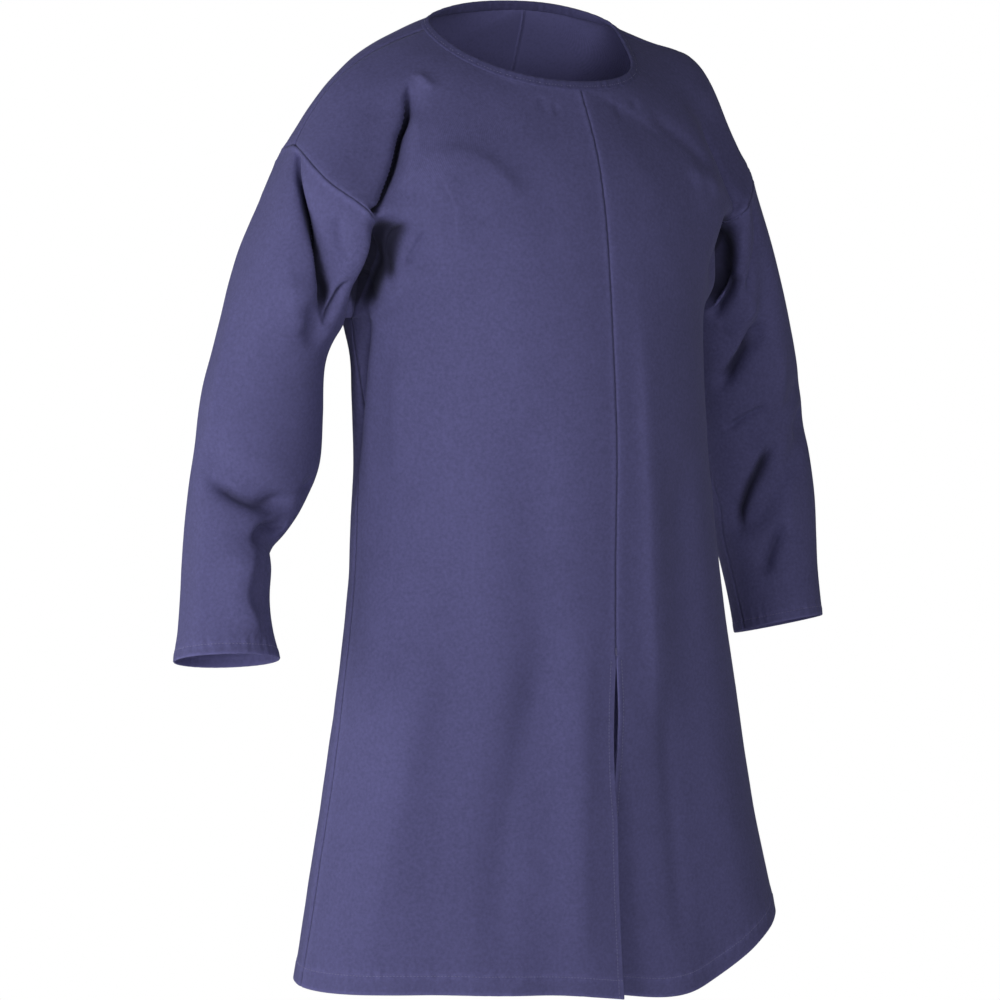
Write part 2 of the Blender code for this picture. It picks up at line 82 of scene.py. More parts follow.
# How far the front of the seam drifts off that ellipse, at shares of the way from the underarm up:
# straight from the tip to a corner at the front, and straight from there to the underarm
ArmholeDrift = namedtuple("ArmholeDrift", "share x y z")
ARMHOLE_DRIFT = [
    ArmholeDrift(0.00, 0.0000, 0.0000, 0.0000),
    ArmholeDrift(0.25, 0.0115, 0.0075, 0.0000),
    ArmholeDrift(0.50, -0.0122, -0.0079, 0.0050),
    ArmholeDrift(0.75, 0.0062, 0.0029, -0.0076),
    ArmholeDrift(1.00, 0.0000, 0.0000, 0.0000),
]
ARMHOLE_DRIFT_FADE = 0.09

# Tuck along the lower front of that seam, where the sleeve stands out over the body
TUCK_DEPTH = 0.040
TUCK_LIP = 0.004
TUCK_LIP_AT = 0.018
TUCK_LIP_WIDTH = 0.009
TUCK_BODY_REACH = 0.021
TUCK_SLEEVE_REACH = 0.013
TUCK_FROM = 0.04
TUCK_FULL_FROM = 0.16
TUCK_FULL_TO = 0.44
TUCK_TO = 0.58

# Body sections from the underarm to the hem, as in the solids
BodySection = namedtuple("BodySection", "drop half_width front back side_y sway right_reach left_reach")
BODY_SECTIONS = [
    BodySection(0.292, 0.203, 0.141, 0.130, 0.028, 0.000, 0.552, 0.552),
    BodySection(0.420, 0.202, 0.144, 0.118, 0.026, 0.004, 0.552, 0.590),
    BodySection(0.560, 0.213, 0.140, 0.122, 0.018, 0.006, 0.552, 0.640),
    BodySection(0.700, 0.236, 0.143, 0.130, 0.010, 0.006, 0.540, 0.650),
    BodySection(0.840, 0.260, 0.153, 0.140, 0.000, 0.001, 0.520, 0.670),
    BodySection(0.965, 0.285, 0.168, 0.150, -0.008, -0.002, 0.500, 0.690),
]
UNDERARM_DROP = BODY_SECTIONS[0].drop
HEM_DROP = BODY_SECTIONS[-1].drop

# Centre lines above underarm level: how far forward or back at each drop
CentreSection = namedtuple("CentreSection", "drop depth")
CENTRE_FRONT = [CentreSection(0.120, 0.108), CentreSection(0.180, 0.126), CentreSection(0.230, 0.134)]
CENTRE_BACK = [CentreSection(0.020, 0.088), CentreSection(0.100, 0.112), CentreSection(0.200, 0.126)]

# How the cloth runs across a panel between underarm level and the shoulder
YokeRow = namedtuple("YokeRow", "share start start_reach finish finish_reach")
YOKE_ROWS = [
    YokeRow(0.00, (1.00, 0.00, 0.00), 0.42, (0.00, 1.00, 0.00), 0.357),
    YokeRow(0.50, (0.95, -0.08, -0.30), 0.38, (0.80, 0.50, -0.25), 0.34),
    YokeRow(1.00, (0.96, 0.00, -0.27), 0.40, (0.45, 0.00, -0.89), 0.36),
]

# Places where the worn cloth stands off its even form
Swell = namedtuple("Swell", "x y z radius shift_x shift_y shift_z")
SWELLS = [
    Swell(0.220, 0.020, -0.066, 0.060, 0.003, 0.0, 0.029),
    Swell(-0.150, 0.020, -0.020, 0.060, 0.000, 0.0, -0.002),
    Swell(0.000, 0.095, -0.030, 0.120, 0.036, 0.0, 0.008),
    Swell(0.118, -0.010, -0.010, 0.055, -0.013, 0.0, 0.000),
    Swell(0.080, -0.165, -0.965, 0.110, 0.000, 0.0, -0.030),
    Swell(-0.210, -0.090, -0.965, 0.120, 0.000, 0.0, 0.009),
    Swell(0.245, -0.080, -0.965, 0.090, 0.000, 0.0, 0.016),
]

# Sleeve sections from below the armhole to the cuff
SleeveSection = namedtuple("SleeveSection", "inner_x inner_drop outer_x outer_drop y half_depth front_lift")
SLEEVE_SECTIONS = {
    "right": [
        SleeveSection(0.218, 0.298, 0.312, 0.222, 0.036, 0.076, 0.0),
        SleeveSection(0.235, 0.340, 0.340, 0.310, 0.042, 0.064, 3.0),
        SleeveSection(0.234, 0.391, 0.356, 0.361, 0.046, 0.060, 5.0),
        SleeveSection(0.238, 0.442, 0.364, 0.412, 0.047, 0.058, 7.0),
        SleeveSection(0.263, 0.488, 0.375, 0.464, 0.042, 0.056, 10.0),
        SleeveSection(0.292, 0.521, 0.382, 0.503, 0.035, 0.055, 12.0),
        SleeveSection(0.307, 0.560, 0.390, 0.546, 0.026, 0.053, 14.0),
        SleeveSection(0.306, 0.629, 0.411, 0.615, 0.006, 0.050, 17.0),
    ],
    "left": [
        SleeveSection(0.219, 0.298, 0.318, 0.222, 0.036, 0.077, 0.0),
        SleeveSection(0.238, 0.356, 0.360, 0.320, 0.044, 0.068, 3.0),
        SleeveSection(0.259, 0.445, 0.386, 0.415, 0.048, 0.062, 7.0),
        SleeveSection(0.275, 0.538, 0.399, 0.522, 0.036, 0.056, 11.0),
        SleeveSection(0.284, 0.604, 0.391, 0.596, 0.020, 0.052, 14.0),
        SleeveSection(0.288, 0.655, 0.386, 0.651, 0.006, 0.052, 17.0),
    ],
}

# Slit from the hem up the centre front
SLIT_TOP_DROP = 0.632
SLIT_PART = 0.004
SLIT_FALL_BACK = 0.018
SLIT_REACH = 0.07
SLIT_STITCH_INSET = 0.006

# Broad folds that the solids have too: a place is degrees round from centre front, the wearer's
# left positive, and a drop; on a sleeve 0 degrees is the inner side, 90 the front, 180 the outer
Fold = namedtuple("Fold", "from_angle from_drop to_angle to_drop width depth")
BODY_FOLDS = [
    Fold(-79.0, 0.085, -70.0, 0.220, 0.021, 0.018),
    Fold(79.0, 0.090, 71.0, 0.240, 0.022, 0.018),
    Fold(112.0, 0.110, 116.0, 0.260, 0.024, 0.017),
    Fold(-114.0, 0.100, -117.0, 0.250, 0.023, 0.018),
    Fold(-34.0, 0.430, -27.0, 0.990, 0.034, 0.005),
    Fold(-62.0, 0.520, -58.0, 0.990, 0.030, 0.005),
    Fold(38.0, 0.480, 42.0, 0.990, 0.034, 0.007),
    Fold(146.0, 0.420, 141.0, 0.990, 0.036, 0.011),
    Fold(-142.0, 0.460, -149.0, 0.990, 0.034, 0.012),
    Fold(-112.0, 0.560, -108.0, 0.990, 0.030, 0.008),
]
SLEEVE_FOLDS = {
    "right": [
        Fold(132.0, 0.190, 84.0, 0.300, 0.014, 0.007),
        Fold(160.0, 0.440, 55.0, 0.486, 0.015, 0.007),
        Fold(75.0, 0.505, 20.0, 0.520, 0.014, 0.007),
        Fold(300.0, 0.410, 240.0, 0.450, 0.016, 0.009),
    ],
    "left": [
        Fold(118.0, 0.210, 80.0, 0.320, 0.015, 0.008),
        Fold(125.0, 0.400, 55.0, 0.430, 0.014, 0.005),
        Fold(130.0, 0.445, 50.0, 0.530, 0.016, 0.008),
        Fold(290.0, 0.400, 235.0, 0.440, 0.016, 0.009),
    ],
}
FOLD_RADIUS = 0.19
SLEEVE_FOLD_RADIUS = 0.058
SHOULDER_FADE = 4
SIDE_FADE = 6
CENTRE_FADE = 0.12
SLEEVE_FOLD_START = 0.06

# Creases: half widths to the left and right of the way the path runs, seen from
# outside, a depth, negative for a ridge, the path's places in degrees and drop, and how far one
# side rolls over the trough: the right side if positive, the left side if negative
Crease = namedtuple("Crease", "left right depth path lip", defaults=(0.0,))
BODY_CREASES = [
    Crease(0.008, 0.0045, 0.030, [(-80.4, 0.050), (-79.4, 0.096), (-77.0, 0.141), (-73.4, 0.216)], 0.011),
    Crease(0.008, 0.008, -0.004, [(-82.0, 0.050), (-78.0, 0.058), (-73.0, 0.070)]),
    Crease(0.012, 0.009, -0.004, [(-75.5, 0.080), (-72.0, 0.120), (-71.0, 0.170)]),
    Crease(
        0.014,
        0.044,
        -0.005,
        [(-72.0, 0.160), (-66.0, 0.134), (-58.0, 0.132), (-48.0, 0.150), (-36.0, 0.186)],
    ),
    Crease(0.007, 0.005, 0.014, [(-69.5, 0.192), (-71.2, 0.208), (-74.0, 0.236), (-77.0, 0.266)]),
    Crease(0.004, 0.004, 0.004, [(-66.0, 0.204), (-69.0, 0.216), (-72.0, 0.240)]),
    Crease(0.005, 0.014, 0.012, [(-86.0, 0.262), (-92.0, 0.320), (-97.0, 0.400), (-101.0, 0.500)]),
    Crease(0.016, 0.016, -0.004, [(-78.0, 0.300), (-80.0, 0.380), (-80.0, 0.460)]),
    Crease(0.030, 0.040, -0.007, [(-60.0, 0.540), (-68.0, 0.640), (-72.0, 0.780), (-74.0, 0.960)]),
    Crease(0.036, 0.034, 0.009, [(-22.0, 0.560), (-34.0, 0.690), (-43.0, 0.790), (-41.0, 0.990)]),
    Crease(0.020, 0.030, -0.005, [(-12.0, 0.560), (-14.0, 0.700), (-16.0, 0.840), (-17.0, 0.990)]),
    Crease(0.030, 0.012, -0.004, [(14.0, 0.240), (17.0, 0.427), (21.0, 0.579), (25.0, 0.760)]),
    Crease(0.024, 0.024, 0.006, [(28.0, 0.640), (30.0, 0.780), (31.0, 0.980)]),
    Crease(0.012, 0.014, 0.004, [(47.0, 0.088), (58.0, 0.110), (66.0, 0.150)]),
    Crease(0.006, 0.009, 0.011, [(80.0, 0.085), (78.0, 0.120), (75.0, 0.165), (73.5, 0.220)]),
    Crease(0.006, 0.009, 0.009, [(70.0, 0.190), (73.0, 0.216), (76.0, 0.240)]),
    Crease(0.014, 0.014, -0.004, [(66.0, 0.180), (60.0, 0.150), (52.0, 0.160)]),
    Crease(0.004, 0.004, 0.0016, [(-30.0, 0.070), (-27.0, 0.090)]),
    Crease(0.004, 0.004, 0.0014, [(-19.0, 0.076), (-20.0, 0.094)]),
    Crease(0.005, 0.005, 0.0016, [(31.0, 0.076), (27.0, 0.096)]),
    Crease(0.004, 0.004, 0.0014, [(44.0, 0.070), (40.0, 0.086)]),
    Crease(0.009, 0.009, 0.010, [(112.0, 0.100), (114.0, 0.160), (112.0, 0.225)]),
    Crease(0.009, 0.009, 0.009, [(-112.0, 0.095), (-115.0, 0.150), (-113.0, 0.235)]),
    Crease(0.014, 0.018, -0.005, [(120.0, 0.190), (132.0, 0.150), (146.0, 0.160)]),
    Crease(0.014, 0.018, -0.005, [(-122.0, 0.200), (-134.0, 0.165), (-150.0, 0.180)]),
    Crease(0.024, 0.030, 0.007, [(168.0, 0.470), (160.0, 0.640), (156.0, 0.990)]),
    Crease(0.026, 0.030, 0.007, [(-170.0, 0.500), (-164.0, 0.700), (-166.0, 0.990)]),
    Crease(0.024, 0.024, 0.006, [(118.0, 0.520), (112.0, 0.720), (110.0, 0.980)]),
    Crease(0.026, 0.020, 0.005, [(-128.0, 0.600), (-126.0, 0.780), (-129.0, 0.990)]),
    Crease(0.018, 0.018, 0.005, [(104.0, 0.300), (112.0, 0.380), (124.0, 0.440)]),
    Crease(0.018, 0.018, 0.005, [(-104.0, 0.310), (-114.0, 0.370), (-128.0, 0.410)]),
    Crease(0.020, 0.020, 0.004, [(84.0, 0.310), (78.0, 0.400), (66.0, 0.480)]),
]
SLEEVE_CREASES = {
    "right": [
        Crease(
            0.0070,
            0.006,
            0.022,
            [(178.0, 0.192), (167.0, 0.214), (148.0, 0.227), (128.0, 0.240), (105.0, 0.260), (68.0, 0.292)],
            0.009,
        ),
        Crease(
            0.030,
            0.006,
            0.009,
            [(160.0, 0.216), (140.0, 0.232), (120.0, 0.246), (100.0, 0.266), (72.0, 0.290)],
        ),
        Crease(0.007, 0.007, 0.005, [(120.0, 0.217), (108.3, 0.231), (97.0, 0.243)]),
        Crease(0.005, 0.005, 0.013, [(79.0, 0.243), (73.3, 0.268), (71.0, 0.294)]),
        Crease(0.014, 0.014, -0.005, [(128.0, 0.262), (110.0, 0.285), (92.0, 0.310)]),
        Crease(0.012, 0.012, 0.004, [(112.0, 0.281), (90.0, 0.292), (62.0, 0.306)]),
        Crease(
            0.008,
            0.012,
            0.015,
            [(172.0, 0.450), (142.5, 0.465), (115.1, 0.473), (80.0, 0.474), (48.0, 0.472)],
        ),
        Crease(0.006, 0.005, 0.012, [(36.0, 0.492), (60.0, 0.497), (81.5, 0.502), (96.0, 0.520)]),
        Crease(
            0.009,
            0.022,
            -0.010,
            [(90.0, 0.508), (94.7, 0.546), (98.0, 0.568), (86.4, 0.588), (70.0, 0.612)],
        ),
        Crease(0.010, 0.016, -0.004, [(182.0, 0.280), (163.0, 0.385), (166.1, 0.452)]),
        Crease(0.012, 0.020, -0.003, [(157.0, 0.476), (155.0, 0.532), (146.7, 0.612)]),
        Crease(0.008, 0.008, 0.005, [(30.0, 0.440), (48.0, 0.455), (62.0, 0.452)]),
        Crease(0.010, 0.010, 0.006, [(300.0, 0.470), (270.0, 0.480), (235.0, 0.470)]),
        Crease(0.008, 0.008, 0.008, [(205.0, 0.228), (235.0, 0.240), (262.0, 0.262)]),
        Crease(0.010, 0.010, 0.005, [(310.0, 0.350), (280.0, 0.365), (250.0, 0.360)]),
        Crease(0.012, 0.012, 0.004, [(240.0, 0.540), (225.0, 0.580), (215.0, 0.620)]),
    ],
    "left": [
        Crease(0.009, 0.009, 0.014, [(112.0, 0.200), (113.0, 0.228), (93.0, 0.246), (64.0, 0.272)], 0.004),
        Crease(0.007, 0.007, 0.016, [(66.0, 0.232), (44.7, 0.256), (28.0, 0.282)], 0.005),
        Crease(0.009, 0.009, -0.004, [(86.0, 0.279), (63.6, 0.297), (40.0, 0.309)]),
        Crease(0.010, 0.012, 0.018, [(88.0, 0.304), (58.0, 0.338), (24.0, 0.378)], 0.005),
        Crease(0.005, 0.005, 0.008, [(80.0, 0.406), (52.5, 0.413), (26.0, 0.421)]),
        Crease(0.014, 0.018, 0.020, [(92.0, 0.444), (67.0, 0.475), (43.0, 0.505), (18.0, 0.556)], 0.004),
        Crease(0.009, 0.010, 0.012, [(80.0, 0.540), (60.0, 0.570), (40.0, 0.600)]),
        Crease(0.014, 0.014, -0.004, [(104.0, 0.330), (98.0, 0.380), (92.0, 0.430)]),
        Crease(0.010, 0.014, -0.004, [(100.0, 0.480), (86.0, 0.520), (80.0, 0.560)]),
        Crease(0.010, 0.010, 0.006, [(150.0, 0.425), (128.0, 0.436), (108.0, 0.452)]),
        Crease(0.008, 0.008, 0.008, [(205.0, 0.230), (232.0, 0.244), (258.0, 0.266)]),
        Crease(0.010, 0.010, 0.006, [(305.0, 0.450), (270.0, 0.462), (238.0, 0.452)]),
        Crease(0.010, 0.010, 0.005, [(308.0, 0.345), (282.0, 0.360), (250.0, 0.352)]),
        Crease(0.012, 0.012, 0.004, [(238.0, 0.560), (222.0, 0.600), (214.0, 0.640)]),
    ],
}
CREASE_STEP = 0.002
CREASE_FEWEST = 12
CREASE_STEADY = 3.0
CREASE_STEADY_REACH = 8
CREASE_RUN_OUT = 0.3
CREASE_SIGHT = 6.0
LIP_FOOT = 0.3
LIP_CREST = 1.3
LIP_END = 4.5
BODY_CREASE_FADE = 0.012
SLEEVE_CREASE_FADE = 0.008

# Fineness of the cloth: rows crowd at the turned edges and columns at the seams, and a front's
# columns crowd towards its side and a sleeve's rows towards its armhole
HEM_ROW_STEP = 0.0015
HEM_ROWS = 16
SKIRT_ROWS = 134
CHEST_ROWS = 62
NECK_ROWS = 48
EDGE_SHARES = np.array([0.0, 0.0025, 0.0050, 0.0085, 0.0125, 0.0175, 0.0235])
FRONT_COLUMNS = 140
BACK_COLUMNS = 84
CROWDING = 0.28
ARMHOLE_ROW_STEP = 0.0010
ARMHOLE_ROWS = 9
SLEEVE_ROWS = 180
CUFF_ROW_STEP = 0.0012
CUFF_ROWS = 13
UNDERARM_SOFTENING = 70
UNDERARM_SOFT_REACH = 0.045

# Sewing: how the cloth dips and ripples at its seams and turned edges, and how soon that runs out
SEAM_DIP = 0.0012
SEAM_ROLL = 0.0010
SEAM_SWELL = 0.0002
SEAM_SWELL_AT = 0.0040
PUCKER = 0.0005
PUCKER_REACH = 0.010
EDGE_RAISE = 0.0006
STITCH_GROOVE = 0.0006
EDGE_FALL = 0.003
STITCH_GROOVE_WIDTH = 0.0014
SEAM_END = 0.004
PUCKER_END = 0.012
NECK_END = 0.008
UNEVENNESS = 0.0011
RIM_BULGE = 0.45

# Waves along a seam: lengths of the long and short ones and of the wandering, and their shares
PUCKER_LONG = 0.013
PUCKER_SHORT = 0.0083
PUCKER_WANDER = 0.047
PUCKER_WANDER_SHARE = 0.8
PUCKER_LONG_SHARE = 0.6
PUCKER_SHORT_SHARE = 0.4
PUCKER_SHORT_START = 1.3

# Wear: widths that are rubbed pale at edges, stitch lines and seams, and how much
RUB_EDGE = 0.002
RUB_STITCHES = 0.003
RUB_STITCHES_SHARE = 0.5
RUB_SEAM = 0.004
RUB_CENTRE_SHARE = 0.5
RUB_ARMHOLE_SHARE = 0.4

# Dye: paler on the reverse. Painted shade: the colour darkened deep in the folds and in a thin dark line
# along the seams
REVERSE_PALER = 1.2
PAINTED_FOLD_SHADE_FROM = 0.007
PAINTED_FOLD_SHADE_FULL = 0.023
PAINTED_SHADE_DARKEST = 0.28
PAINTED_SEAM_SHADE_WIDTH = 0.0012
PAINTED_SEAM_SHADE_SHARE = 0.55
DYE_DEEP = 0.80
DYE_PALE = 1.40
DYE_MIDDLE = 0.35
DYE_WEAR_AND_SHADE_SHARE = 0.5
DyePatch = namedtuple("DyePatch", "scale share")
DYE_PATCHES = (DyePatch(7.0, 0.20), DyePatch(46.0, 0.22), DyePatch(310.0, 1.00))
DYE_DETAIL = 3.0

# Weave: how its ribs waver, stand up and shade the dye
RIB_WAVER_SCALE = 260.0
RIB_WAVER = 3.0
RIB_HEIGHT = 0.32
YARN_FINENESS = 1.7
YARN_HEIGHT = 0.14
SLUB_SCALE = 900.0
SLUB_SHADE = 0.8
WEAVE_DETAIL = 2.0
WEAVE_SHADE = 0.6
WEAVE_DARKEST = 0.55
WEAVE_LIGHTEST = 1.25
WEAVE_SHARE = 0.35
WEAVE_ROUGH_LOW = 0.93
WEAVE_ROUGH_HIGH = 0.78
THREAD_TWIST_SCALE = 900.0

# Binding's ring and section
BINDING_QUARTER = 110
BINDING_SIDES = 22
BINDING_SQUARENESS = 3.2
BINDING_STITCH_INSET = 0.0030
BINDING_HALF_WALL = 0.001
BINDING_GROOVE_WIDTH = 0.0011
BINDING_PUFF = 0.16

# Stitch: one small rounded length of thread, and the bar tack made of such stitches
STITCH_SECTIONS = 5
STITCH_SIDES = 5
STITCH_UNEVEN = 0.00012
STITCH_UNEVEN_TURN = 12.9
STITCH_TAPER = 0.90
STITCH_STAND = 0.55
STITCH_SINK = 1.1
TACK_HALF_LENGTH = 0.0017
TACK_STITCHES = 9
TACK_STEP = 0.0009

# Camera, measured from the photograph
CAMERA_AZIMUTH = math.radians(-33.0)
CAMERA_ELEVATION = math.radians(7.3)
CAMERA_DISTANCE = 2.6
CAMERA_TARGET = Vector((-0.030, 0.0195, -0.488))
CAMERA_LENS = 89.14
CAMERA_SENSOR = 36.0

# Floor disc, with a pinhole at its centre
FLOOR_Z = -1.30
FLOOR_RADIUS = 9.0
FLOOR_PINHOLE = 0.01
FLOOR_RINGS = 6
FLOOR_SPOKES = 48

# Soft square lights: degrees round and up as seen from the target, and the side of the square
Lamp = namedtuple("Lamp", "name azimuth elevation size")
LAMPS = [
    Lamp("key", -70.0, 8.0, 1.3),
    Lamp("edge", -118.0, 8.0, 1.0),
    Lamp("front", -16.0, 9.0, 1.3),
    Lamp("side", 80.0, 8.0, 1.3),
]
LAMP_DISTANCE = 2.8
LAMP_TARGET = Vector((0.0, 0.0, -0.45))


def colour_property(name, description, default):
    return bpy.props.FloatVectorProperty(
        name=name, description=description, subtype="COLOR", size=4, min=0.0, max=1.0, default=default
    )


def length_property(name, description, low, high, default):
    return bpy.props.FloatProperty(
        name=name,
        description=description,
        subtype="DISTANCE",
        unit="LENGTH",
        min=low,
        max=high,
        default=default,
    )


def factor_property(name, description, high, default):
    return bpy.props.FloatProperty(
        name=name, description=description, subtype="FACTOR", min=0.0, max=high, default=default
    )


def power_property(name, description, default):
    return bpy.props.FloatProperty(
        name=name, description=description, subtype="POWER", unit="POWER", min=0.0, default=default
    )


class TunicCloth(bpy.types.PropertyGroup):
    """Sizes and colours of the tunic's cloth"""

    colour: colour_property("Cloth colour", "Dyed colour of the drill", (0.082, 0.079, 0.196, 1.0))
    binding_colour: colour_property(
        "Binding colour", "Dyed colour of the strip round the neck", (0.066, 0.064, 0.165, 1.0)
    )
    thread_colour: colour_property(
        "Thread colour", "Colour of the sewing thread", (0.120, 0.118, 0.235, 1.0)
    )
    thickness: length_property("Cloth thickness", "Thickness of the cloth wall", 0.0005, 0.004, 0.0018)
    crease_depth: factor_property(
        "Crease depth", "How strongly the placed creases show, 1 as worn", 1.5, 1.0
    )
    hem_depth: length_property(
        "Hem depth", "Height of the hem's stitch line above the edge", 0.008, 0.022, 0.0185
    )
    cuff_depth: length_property(
        "Cuff depth", "Height of the cuff's stitch line above the edge", 0.005, 0.014, 0.0100
    )
    stitch_length: length_property(
        "Stitch length", "Length of thread that shows in one stitch", 0.001, 0.006, 0.0026
    )
    stitch_gap: length_property("Stitch gap", "Gap between one stitch and the next", 0.0003, 0.004, 0.0008)
    thread_radius: length_property(
        "Thread radius", "Half the thickness of the sewing thread", 0.0001, 0.001, 0.00036
    )
    rib_spacing: length_property(
        "Rib spacing", "Distance between the diagonal ribs of the drill", 0.0005, 0.004, 0.0013
    )


class TunicStage(bpy.types.PropertyGroup):
    """Strength of the studio light"""

    key_power: power_property("Key light", "Power of the large light on the wearer's right", 42.0)
    edge_power: power_property("Edge light", "Power of the light behind the right sleeve", 23.0)
    front_power: power_property("Front light", "Power of the soft light in front", 25.0)
    side_power: power_property("Side light", "Power of the soft light on the wearer's left", 3.0)
    room_light: factor_property("Room light", "Strength of the even light from the room", 2.0, 0.06)


Sewing = namedtuple("Sewing", "thickness crease_depth hem_depth cuff_depth")
# Each cloth piece carries, per point, wear that paints it pale and painted shade that darkens folds and
# seam lines
Cloth = namedtuple("Cloth", "points normals inner closed facing along up rub free")


def sewing_sizes(context):
    cloth = context.scene.tunic_cloth
    return Sewing(cloth.thickness, cloth.crease_depth, cloth.hem_depth, cloth.cuff_depth)


def curve_through(stations, values, at):
    """Cubic curve through the values at the stations, read at the places given: on each span, the
    end values and slopes weighted by the four Hermite polynomials."""
    stations = np.asarray(stations, float)
    values = np.asarray(values, float).reshape(len(stations), -1)
    if len(stations) == 2:
        share = ((np.asarray(at) - stations[0]) / (stations[1] - stations[0]))[:, None]
        return values[0] + share * (values[1] - values[0])
    step = np.diff(stations)[:, None]
    slope = np.diff(values, axis=0) / step
    tangent = np.empty_like(values)
    tangent[1:-1] = (slope[:-1] * step[1:] + slope[1:] * step[:-1]) / (step[1:] + step[:-1])
    tangent[0] = 1.5 * slope[0] - 0.5 * tangent[1]
    tangent[-1] = 1.5 * slope[-1] - 0.5 * tangent[-2]
    at = np.asarray(at, float)
    left = np.clip(np.searchsorted(stations, at) - 1, 0, len(stations) - 2)
    width = (stations[left + 1] - stations[left])[:, None]
    t = (at - stations[left])[:, None] / width
    return (
        (1 + 2 * t) * (1 - t) ** 2 * values[left]
        + t * (1 - t) ** 2 * width * tangent[left]
        + t * t * (3 - 2 * t) * values[left + 1]
        + t * t * (t - 1) * width * tangent[left + 1]
    )


def ease(t):
    """0 below 0, 1 above 1 and a smooth step between: three t squared less two t cubed."""
    t = np.clip(t, 0.0, 1.0)
    return t * t * (3 - 2 * t)


def bump(distance, width):
    """1 at no distance, falling as e to the minus (distance over width) squared."""
    return np.exp(-((distance / width) ** 2))


def unit(vectors):
    """Vectors divided by their lengths."""
    return vectors / np.maximum(np.linalg.norm(vectors, axis=-1, keepdims=True), 1e-12)


def run_length(points, axis):
    """Length along the grid's lines: steps between neighbours added up from the first line on."""
    step = np.linalg.norm(np.diff(points, axis=axis), axis=-1)
    start = np.zeros_like(np.take(step, [0], axis=axis))
    return np.concatenate([start, np.cumsum(step, axis=axis)], axis=axis)


def neck_ring(share, front, set_back):
    """Half of the neck ring: a rounded-square quarter, x as the sine and y as the cosine of the turn,
    both to the same power, on a plane that leans forward. set_back moves it down over the cloth."""
    turn = share * math.pi / 2
    power = 2 / NECK_ROUNDNESS
    far_y = NECK_FRONT_Y if front else NECK_BACK_Y
    x = NECK_HALF_WIDTH * np.sin(turn) ** power
    y = NECK_SIDE_Y + (far_y - NECK_SIDE_Y) * np.abs(np.cos(turn)) ** power
    z = NECK_SLOPE * (y - NECK_SIDE_Y)
    far_run = NECK_RUN_FRONT if front else NECK_RUN_BACK
    run = np.cos(turn)[:, None] ** 2 * far_run + np.sin(turn)[:, None] ** 2 * NECK_RUN_SIDE
    return np.stack([x, y, z], axis=-1) + set_back * unit(run)


def whole_neck(set_back, quarter_steps):
    """The neck ring all round: centre front, left shoulder, centre back, right shoulder."""
    quarter = np.linspace(0, 1, quarter_steps + 1)
    left = np.concatenate([neck_ring(quarter, True, set_back), neck_ring(quarter, False, set_back)[-2::-1]])
    right = (left * MIRROR)[-2:0:-1]
    return swell(np.concatenate([left, right]))


def neck_frame(quarter_steps):
    """The binding's lower edge all round, with the ways from it up to the neck edge and outward, the
    cross product of the edge's run and the way up."""
    edge = whole_neck(0.0, quarter_steps)
    base = whole_neck(BINDING_WIDTH, quarter_steps)
    upward = unit(edge - base)
    tangent = np.roll(base, -1, axis=0) - np.roll(base, 1, axis=0)
    return base, upward, unit(np.cross(tangent, upward))


def neck_normals(front, side):
    """The binding's outward way at one panel's neck points, centre to shoulder."""
    outward = neck_frame(NECK_ROWS)[2]
    start = 0 if front else 2 * NECK_ROWS
    step = 1 if front == (side == "left") else -1
    return outward[(start + step * np.arange(NECK_ROWS + 1)) % len(outward)]


def armhole_ring(turn):
    """The sleeve seam, an ellipse: turn 0 at the underarm, pi at the shoulder tip, front positive."""
    half = (UNDERARM - SHOULDER_TIP) / 2
    forward = np.array([0.0, -ARMHOLE_HALF_DEPTH, 0.0])
    ellipse = ARMHOLE_CENTRE + np.cos(turn)[:, None] * half + np.sin(turn)[:, None] * forward
    return ellipse + armhole_drift(turn)


def armhole_drift(turn):
    """How far the seam lies off its ellipse: a curve through the table's rows on the front half."""
    share = np.clip(turn / math.pi, 0, 1)
    table = np.array(ARMHOLE_DRIFT)
    front = (turn >= 0) & (turn <= math.pi)
    return curve_through(table[:, 0], table[:, 1:], share) * front[:, None]


def tuck_share(turn):
    """How much of the tuck's depth there is at a turn round the armhole: a smooth step up and one down."""
    share = turn / math.pi
    rise = ease((share - TUCK_FROM) / (TUCK_FULL_FROM - TUCK_FROM))
    return rise * ease((TUCK_TO - share) / (TUCK_TO - TUCK_FULL_TO))


def painted_fold_shade(moves, normals):
    """How much painted shade darkens the colour in a fold: a smooth step of how deep the cloth went in."""
    depth = -(moves * normals).sum(axis=-1)
    return ease((depth - PAINTED_FOLD_SHADE_FROM) / (PAINTED_FOLD_SHADE_FULL - PAINTED_FOLD_SHADE_FROM))


def tuck_lip(points):
    """How the sleeve's upper edge rolls out over the tuck: towards the seam, most a little below it,
    as the tuck's share times a bell of the way down."""
    down = run_length(points, 0)
    roll = TUCK_LIP * tuck_share(sleeve_turns()) * bump(down - TUCK_LIP_AT, TUCK_LIP_WIDTH)
    roll *= ease(down / TUCK_LIP_AT)
    towards = unit(points[0] - points[2 * ARMHOLE_ROWS])
    return roll[..., None] * towards


def yoke_start(front):
    """Points up a panel's inner edge above underarm level, up the centre line and then round the
    neck to the shoulder, with each one's share of that way."""
    forward = -1.0 if front else 1.0
    lowest = BODY_SECTIONS[0]
    neck = neck_ring(np.linspace(0, 1, NECK_ROWS + 1), front, BINDING_WIDTH)
    table = CENTRE_FRONT if front else CENTRE_BACK
    drops = [-neck[0, 2]] + [row.drop for row in table] + [lowest.drop]
    depths = [abs(neck[0, 1])] + [row.depth for row in table] + [lowest.front if front else lowest.back]
    drop = np.linspace(lowest.drop, drops[0], CHEST_ROWS + 1)
    depth = curve_through(drops, depths, drop)[:, 0]
    centre = np.stack([np.zeros_like(drop), forward * depth, -drop], axis=-1)
    line = np.concatenate([centre, neck[1:]])
    way = run_length(line, 0)
    return line[1:], way[1:] / way[-1]


